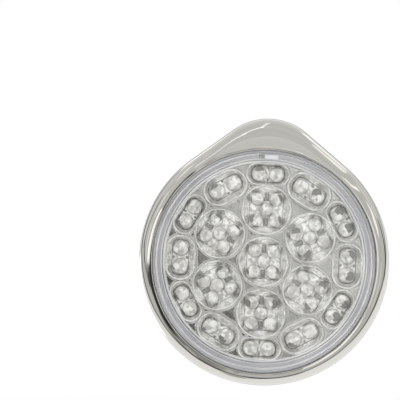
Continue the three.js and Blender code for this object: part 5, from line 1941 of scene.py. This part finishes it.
@dataclass
class Studio:
    """Camera, world, lamps and floor."""

    target: Place = (0.0, -43.0, 0.0)
    pixel: Pair = (263.5, 260.9)
    scale: float = 1.2576
    frame: float = 400.0
    lens: float = 110.0
    sensor: float = 36.0
    azimuth: float = -0.5
    elevation: float = 4.5
    roll: float = 2.8
    floor_drop: float = 220.0
    floor_half: float = 20.0
    backdrop: float = 1.0
    ambient: float = 0.62
    levels: tuple[Pair, ...] = (
        (0.0, 0.74), (20.0, 0.8), (34.0, 0.77), (50.0, 0.83), (68.0, 0.78), (84.0, 0.84), (120.0, 0.96),
        (150.0, 1.25))
    low_drop: float = 0.06
    darkest: float = 0.05
    lean_way: Place = (1.0, -0.1, 0.8)
    lean_span: Pair = (0.01, 0.082)
    lean_levels: Pair = (-0.6, 0.14)
    lean_edge: Pair = (9.5, 13.0)
    table_way: Place = (0.09, 0.51, -0.86)
    table_start: float = 0.14
    table_level: float = 1.2
    table_edge: float = 0.5
    streaks: tuple[tuple[float, ...], ...] = (
        (-40, 33, -23, 35, 2.2, 0.9, 1.2), (-21, 39, -6, 50, 1.6, 0.8, 1.2), (-6, 50, -1, 82, 1.2, 0.5, 1.2),
        (-50, 61, -43, 68, 2.5, 0.8, 1.2), (-45, 118, -41, 134, 3, 0.5), (34, 101, 40, 118, 3, 0.8),
        (41, 66, 42, 96, 1.2, 0.6, 1.2), (52, 20, 54, 54, 1.6, 0.8, 1.2), (66, 56, 78, 37, 3.5, 0.8),
        (54, 80, 66, 80, 4, 0.4), (97, 8, 123, 8, 6, 0.45), (99, 38, 111, 38, 4, 0.25),
        (143, 12, 157, 12, 5, 0.8), (-101, 15, -109, 15, 7, 0.6), (-82, 20, -99, 27, 5, 1.0),
        (-84, 50, -97, 50, 4, 0.3), (-65, 47, -71, 48, 4, 0.4), (-180, 160, 0, 160, 7, -0.9),
        (0, 160, 180, 160, 7, -0.9), (-124, 138, -108, 138, 6, 4.5, 8), (-98, 130, -58, 130, 8, -0.45, 6),
        (76, 88, 94, 90, 5, -0.7), (52, 140, 68, 140, 5, -0.3), (113, 60, 127, 60, 7, -0.2),
        (-67, 76, -87, 87, 2.5, -0.6), (-87, 87, -97, 65, 1.5, -0.5), (-97, 65, -111, 32, 1.5, -0.4),
        (-109, 32, -119, 16, 3, -0.5), (-117, 16, -140, 18, 7, -0.7), (-131, 29, -150, 47, 5, -0.4),
        (-150, 47, -159, 41, 5, -0.3), (-145, 14, -162, 18, 8, -0.3), (-159, 30, -170, 60, 5, -0.3),
        (-170, 60, -181, 40, 5, -0.35), (-181, 40, -196, 46, 5, -0.3))

    def camera(self) -> None:
        """Stand the camera where the photograph was taken from, with the device where it is there."""
        data = bpy.data.cameras.new("photo_camera")
        data.lens, data.sensor_width = self.lens, self.sensor
        data.clip_start, data.clip_end = 0.01, 50.0
        distance = self.frame / self.scale * self.lens / self.sensor
        right, down = ((place - self.frame / 2) / self.scale for place in self.pixel)
        turn = math.radians(self.azimuth) + math.atan(right / distance)
        tilt = math.radians(self.elevation) - math.atan(down / distance)
        back = Vector((math.sin(turn) * math.cos(tilt), -math.cos(turn) * math.cos(tilt), math.sin(tilt)))
        rotation = (-back).to_track_quat("-Z", "Y").to_matrix()
        rotation = rotation @ Matrix.Rotation(math.radians(self.roll), 3, "Z")
        place = Vector(self.target) - rotation @ Vector((right, -down, -distance))
        bpy.context.scene.camera = new_object("photo_camera", data)
        bpy.context.scene.camera.matrix_world = Matrix.Translation(place * MM) @ rotation.to_4x4()

    def reflections(self, graph: Graph) -> Socket:
        """How bright the studio looks in each direction, as polished surfaces mirror it.

        Args:
            graph: the tree.

        Returns:
            The brightness.
        """
        way = graph.out("TexCoord", output="Generated")
        axis = graph.add("SeparateXYZ", {0: way}).outputs
        polar = graph.math("DEGREES", graph.math("ARCCOSINE", graph.math("MULTIPLY", axis[1], -1.0)))
        around = graph.math("DEGREES", graph.math("ARCTAN2", axis[0], axis[2]))
        ramp = graph.add("ValToRGB", {0: graph.math("DIVIDE", polar, 180.0)})
        ramp.color_ramp.interpolation = "EASE"
        while len(ramp.color_ramp.elements) < len(self.levels):
            ramp.color_ramp.elements.new(0.5)
        for element, (place, level) in zip(ramp.color_ramp.elements, self.levels):
            element.position = place / 180
            element.color = (level, level, level, 1.0)
        light = graph.out("SeparateColor", {0: ramp.outputs[0]})
        light = graph.math("SUBTRACT", light, graph.step(axis[2], 0.2, -0.2, 0.0, self.low_drop))
        lean = graph.vector("DOT_PRODUCT", way, self.lean_way)
        lean = graph.step(lean, *self.lean_span, *self.lean_levels)
        light = graph.math("MULTIPLY_ADD", lean, graph.step(polar, *self.lean_edge, 1.0, 0.0), light)
        table = graph.vector("DOT_PRODUCT", way, self.table_way)
        share = graph.step(table, self.table_start + 0.04, self.table_start + 0.16)
        light = graph.math("MULTIPLY_ADD", share, graph.math("SUBTRACT", self.table_level, light), light)
        off = graph.math("ABSOLUTE", graph.math("SUBTRACT", table, self.table_start))
        light = graph.math("SUBTRACT", light, graph.step(off, 0.03, 0.1, self.table_edge, 0.0))
        for row in self.streaks:
            light = graph.math("ADD", light, Streak(*row).light(graph, around, polar))
        return graph.math("MAXIMUM", light, self.darkest)

    def world(self) -> None:
        """White behind the device, a studio with soft strips in reflections, even light on surfaces."""
        world = bpy.data.worlds.new("studio")
        world.use_nodes = True
        bpy.context.scene.world = world
        graph = Graph(world.node_tree)
        graph.tree.nodes.clear()
        white, warm = (1.0, 1.0, 1.0, 1.0), (1.0, 1.0, 0.99, 1.0)
        tones = ((self.reflections(graph), warm), (self.ambient, white), (self.backdrop, white))
        studio, even, behind = (graph.out("Background", {"Strength": s, "Color": c}) for s, c in tones)
        path = graph.add("LightPath").outputs
        mirrored = graph.math("MAXIMUM", path["Is Glossy Ray"], path["Is Transmission Ray"])
        first = graph.out("MixShader", {0: mirrored, 1: even, 2: studio})
        second = graph.out("MixShader", {0: path["Is Camera Ray"], 1: first, 2: behind})
        graph.add("OutputWorld", {"Surface": second})

    def lamp(self, name: str, place: Place, power: float, size: float = 0.9) -> None:
        """A square soft lamp aimed at the device, left out of reflections, where the strips stand for it.

        Args:
            name: its name.
            place: where it stands, in metres.
            power: its power in watts.
            size: its side, in metres.
        """
        data = bpy.data.lights.new(name, "AREA")
        data.size, data.energy = size, power
        made = new_object(name, data)
        made.location = place
        made.rotation_mode = "QUATERNION"
        made.rotation_quaternion = (Vector(self.target) * MM - Vector(place)).to_track_quat("-Z", "Y")
        made.visible_glossy = False

    def floor(self) -> None:
        """A pale floor that turns into the white background further out."""
        mesh = bpy.data.meshes.new("studio_floor")
        half, level = self.floor_half, -self.floor_drop * MM
        spots = [(-half, -half, level), (half, -half, level), (half, half, level), (-half, half, level)]
        mesh.from_pydata(spots, [], [(0, 1, 2, 3)])
        material = bpy.data.materials.new("pale_floor")
        material.use_nodes = True
        graph = Graph(material.node_tree)
        surface = graph.tree.nodes["Principled BSDF"]
        surface.inputs["Base Color"].default_value = (0.9, 0.9, 0.9, 1.0)
        surface.inputs["Roughness"].default_value = 0.9
        far = graph.step(graph.vector("LENGTH", graph.out("TexCoord", output="Object")), 0.3, 0.62)
        glow = graph.out("Emission", {"Color": (1.0, 1.0, 1.0, 1.0), "Strength": self.backdrop})
        mixed = graph.out("MixShader", {0: far, 1: surface.outputs[0], 2: glow})
        mirrored = graph.out("LightPath", output="Is Glossy Ray")
        seen = graph.out("MixShader", {0: mirrored, 1: mixed, 2: graph.out("BsdfTransparent")})
        graph.link(seen, graph.tree.nodes["Material Output"].inputs["Surface"])
        mesh.materials.append(material)
        new_object("studio_floor", mesh)

    def set_up(self) -> None:
        """Place everything and set how colour is shown."""
        self.camera()
        self.world()
        self.lamp("key_lamp", (-0.7, -1.1, 0.9), 9.0)
        self.lamp("fill_lamp", (0.9, -0.9, 0.3), 4.0)
        self.lamp("back_lamp", (0.5, 1.2, 0.9), 7.0)
        self.floor()
        bpy.context.scene.view_settings.view_transform = "Standard"


def corners(box: tuple[Vector, Vector]) -> list[list[float]]:
    """A box's two corners as plain lists."""
    return [list(corner) for corner in box]


def main() -> None:
    """Load the frame and build each sub-assembly on it."""
    logging.basicConfig(level=logging.INFO, format="%(name)s %(message)s")
    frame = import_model()
    Studio().set_up()
    form = BodyForm()
    for kind in (Bezel, LampHead, SideBand, BackShell, GripPlate, FingerRing, Electronics):
        kind(form, frame["nodes"]).make()
        LOG.info("%s done", kind.__name__)
    bpy.context.view_layer.update()


if __name__ == "__main__":
    main()
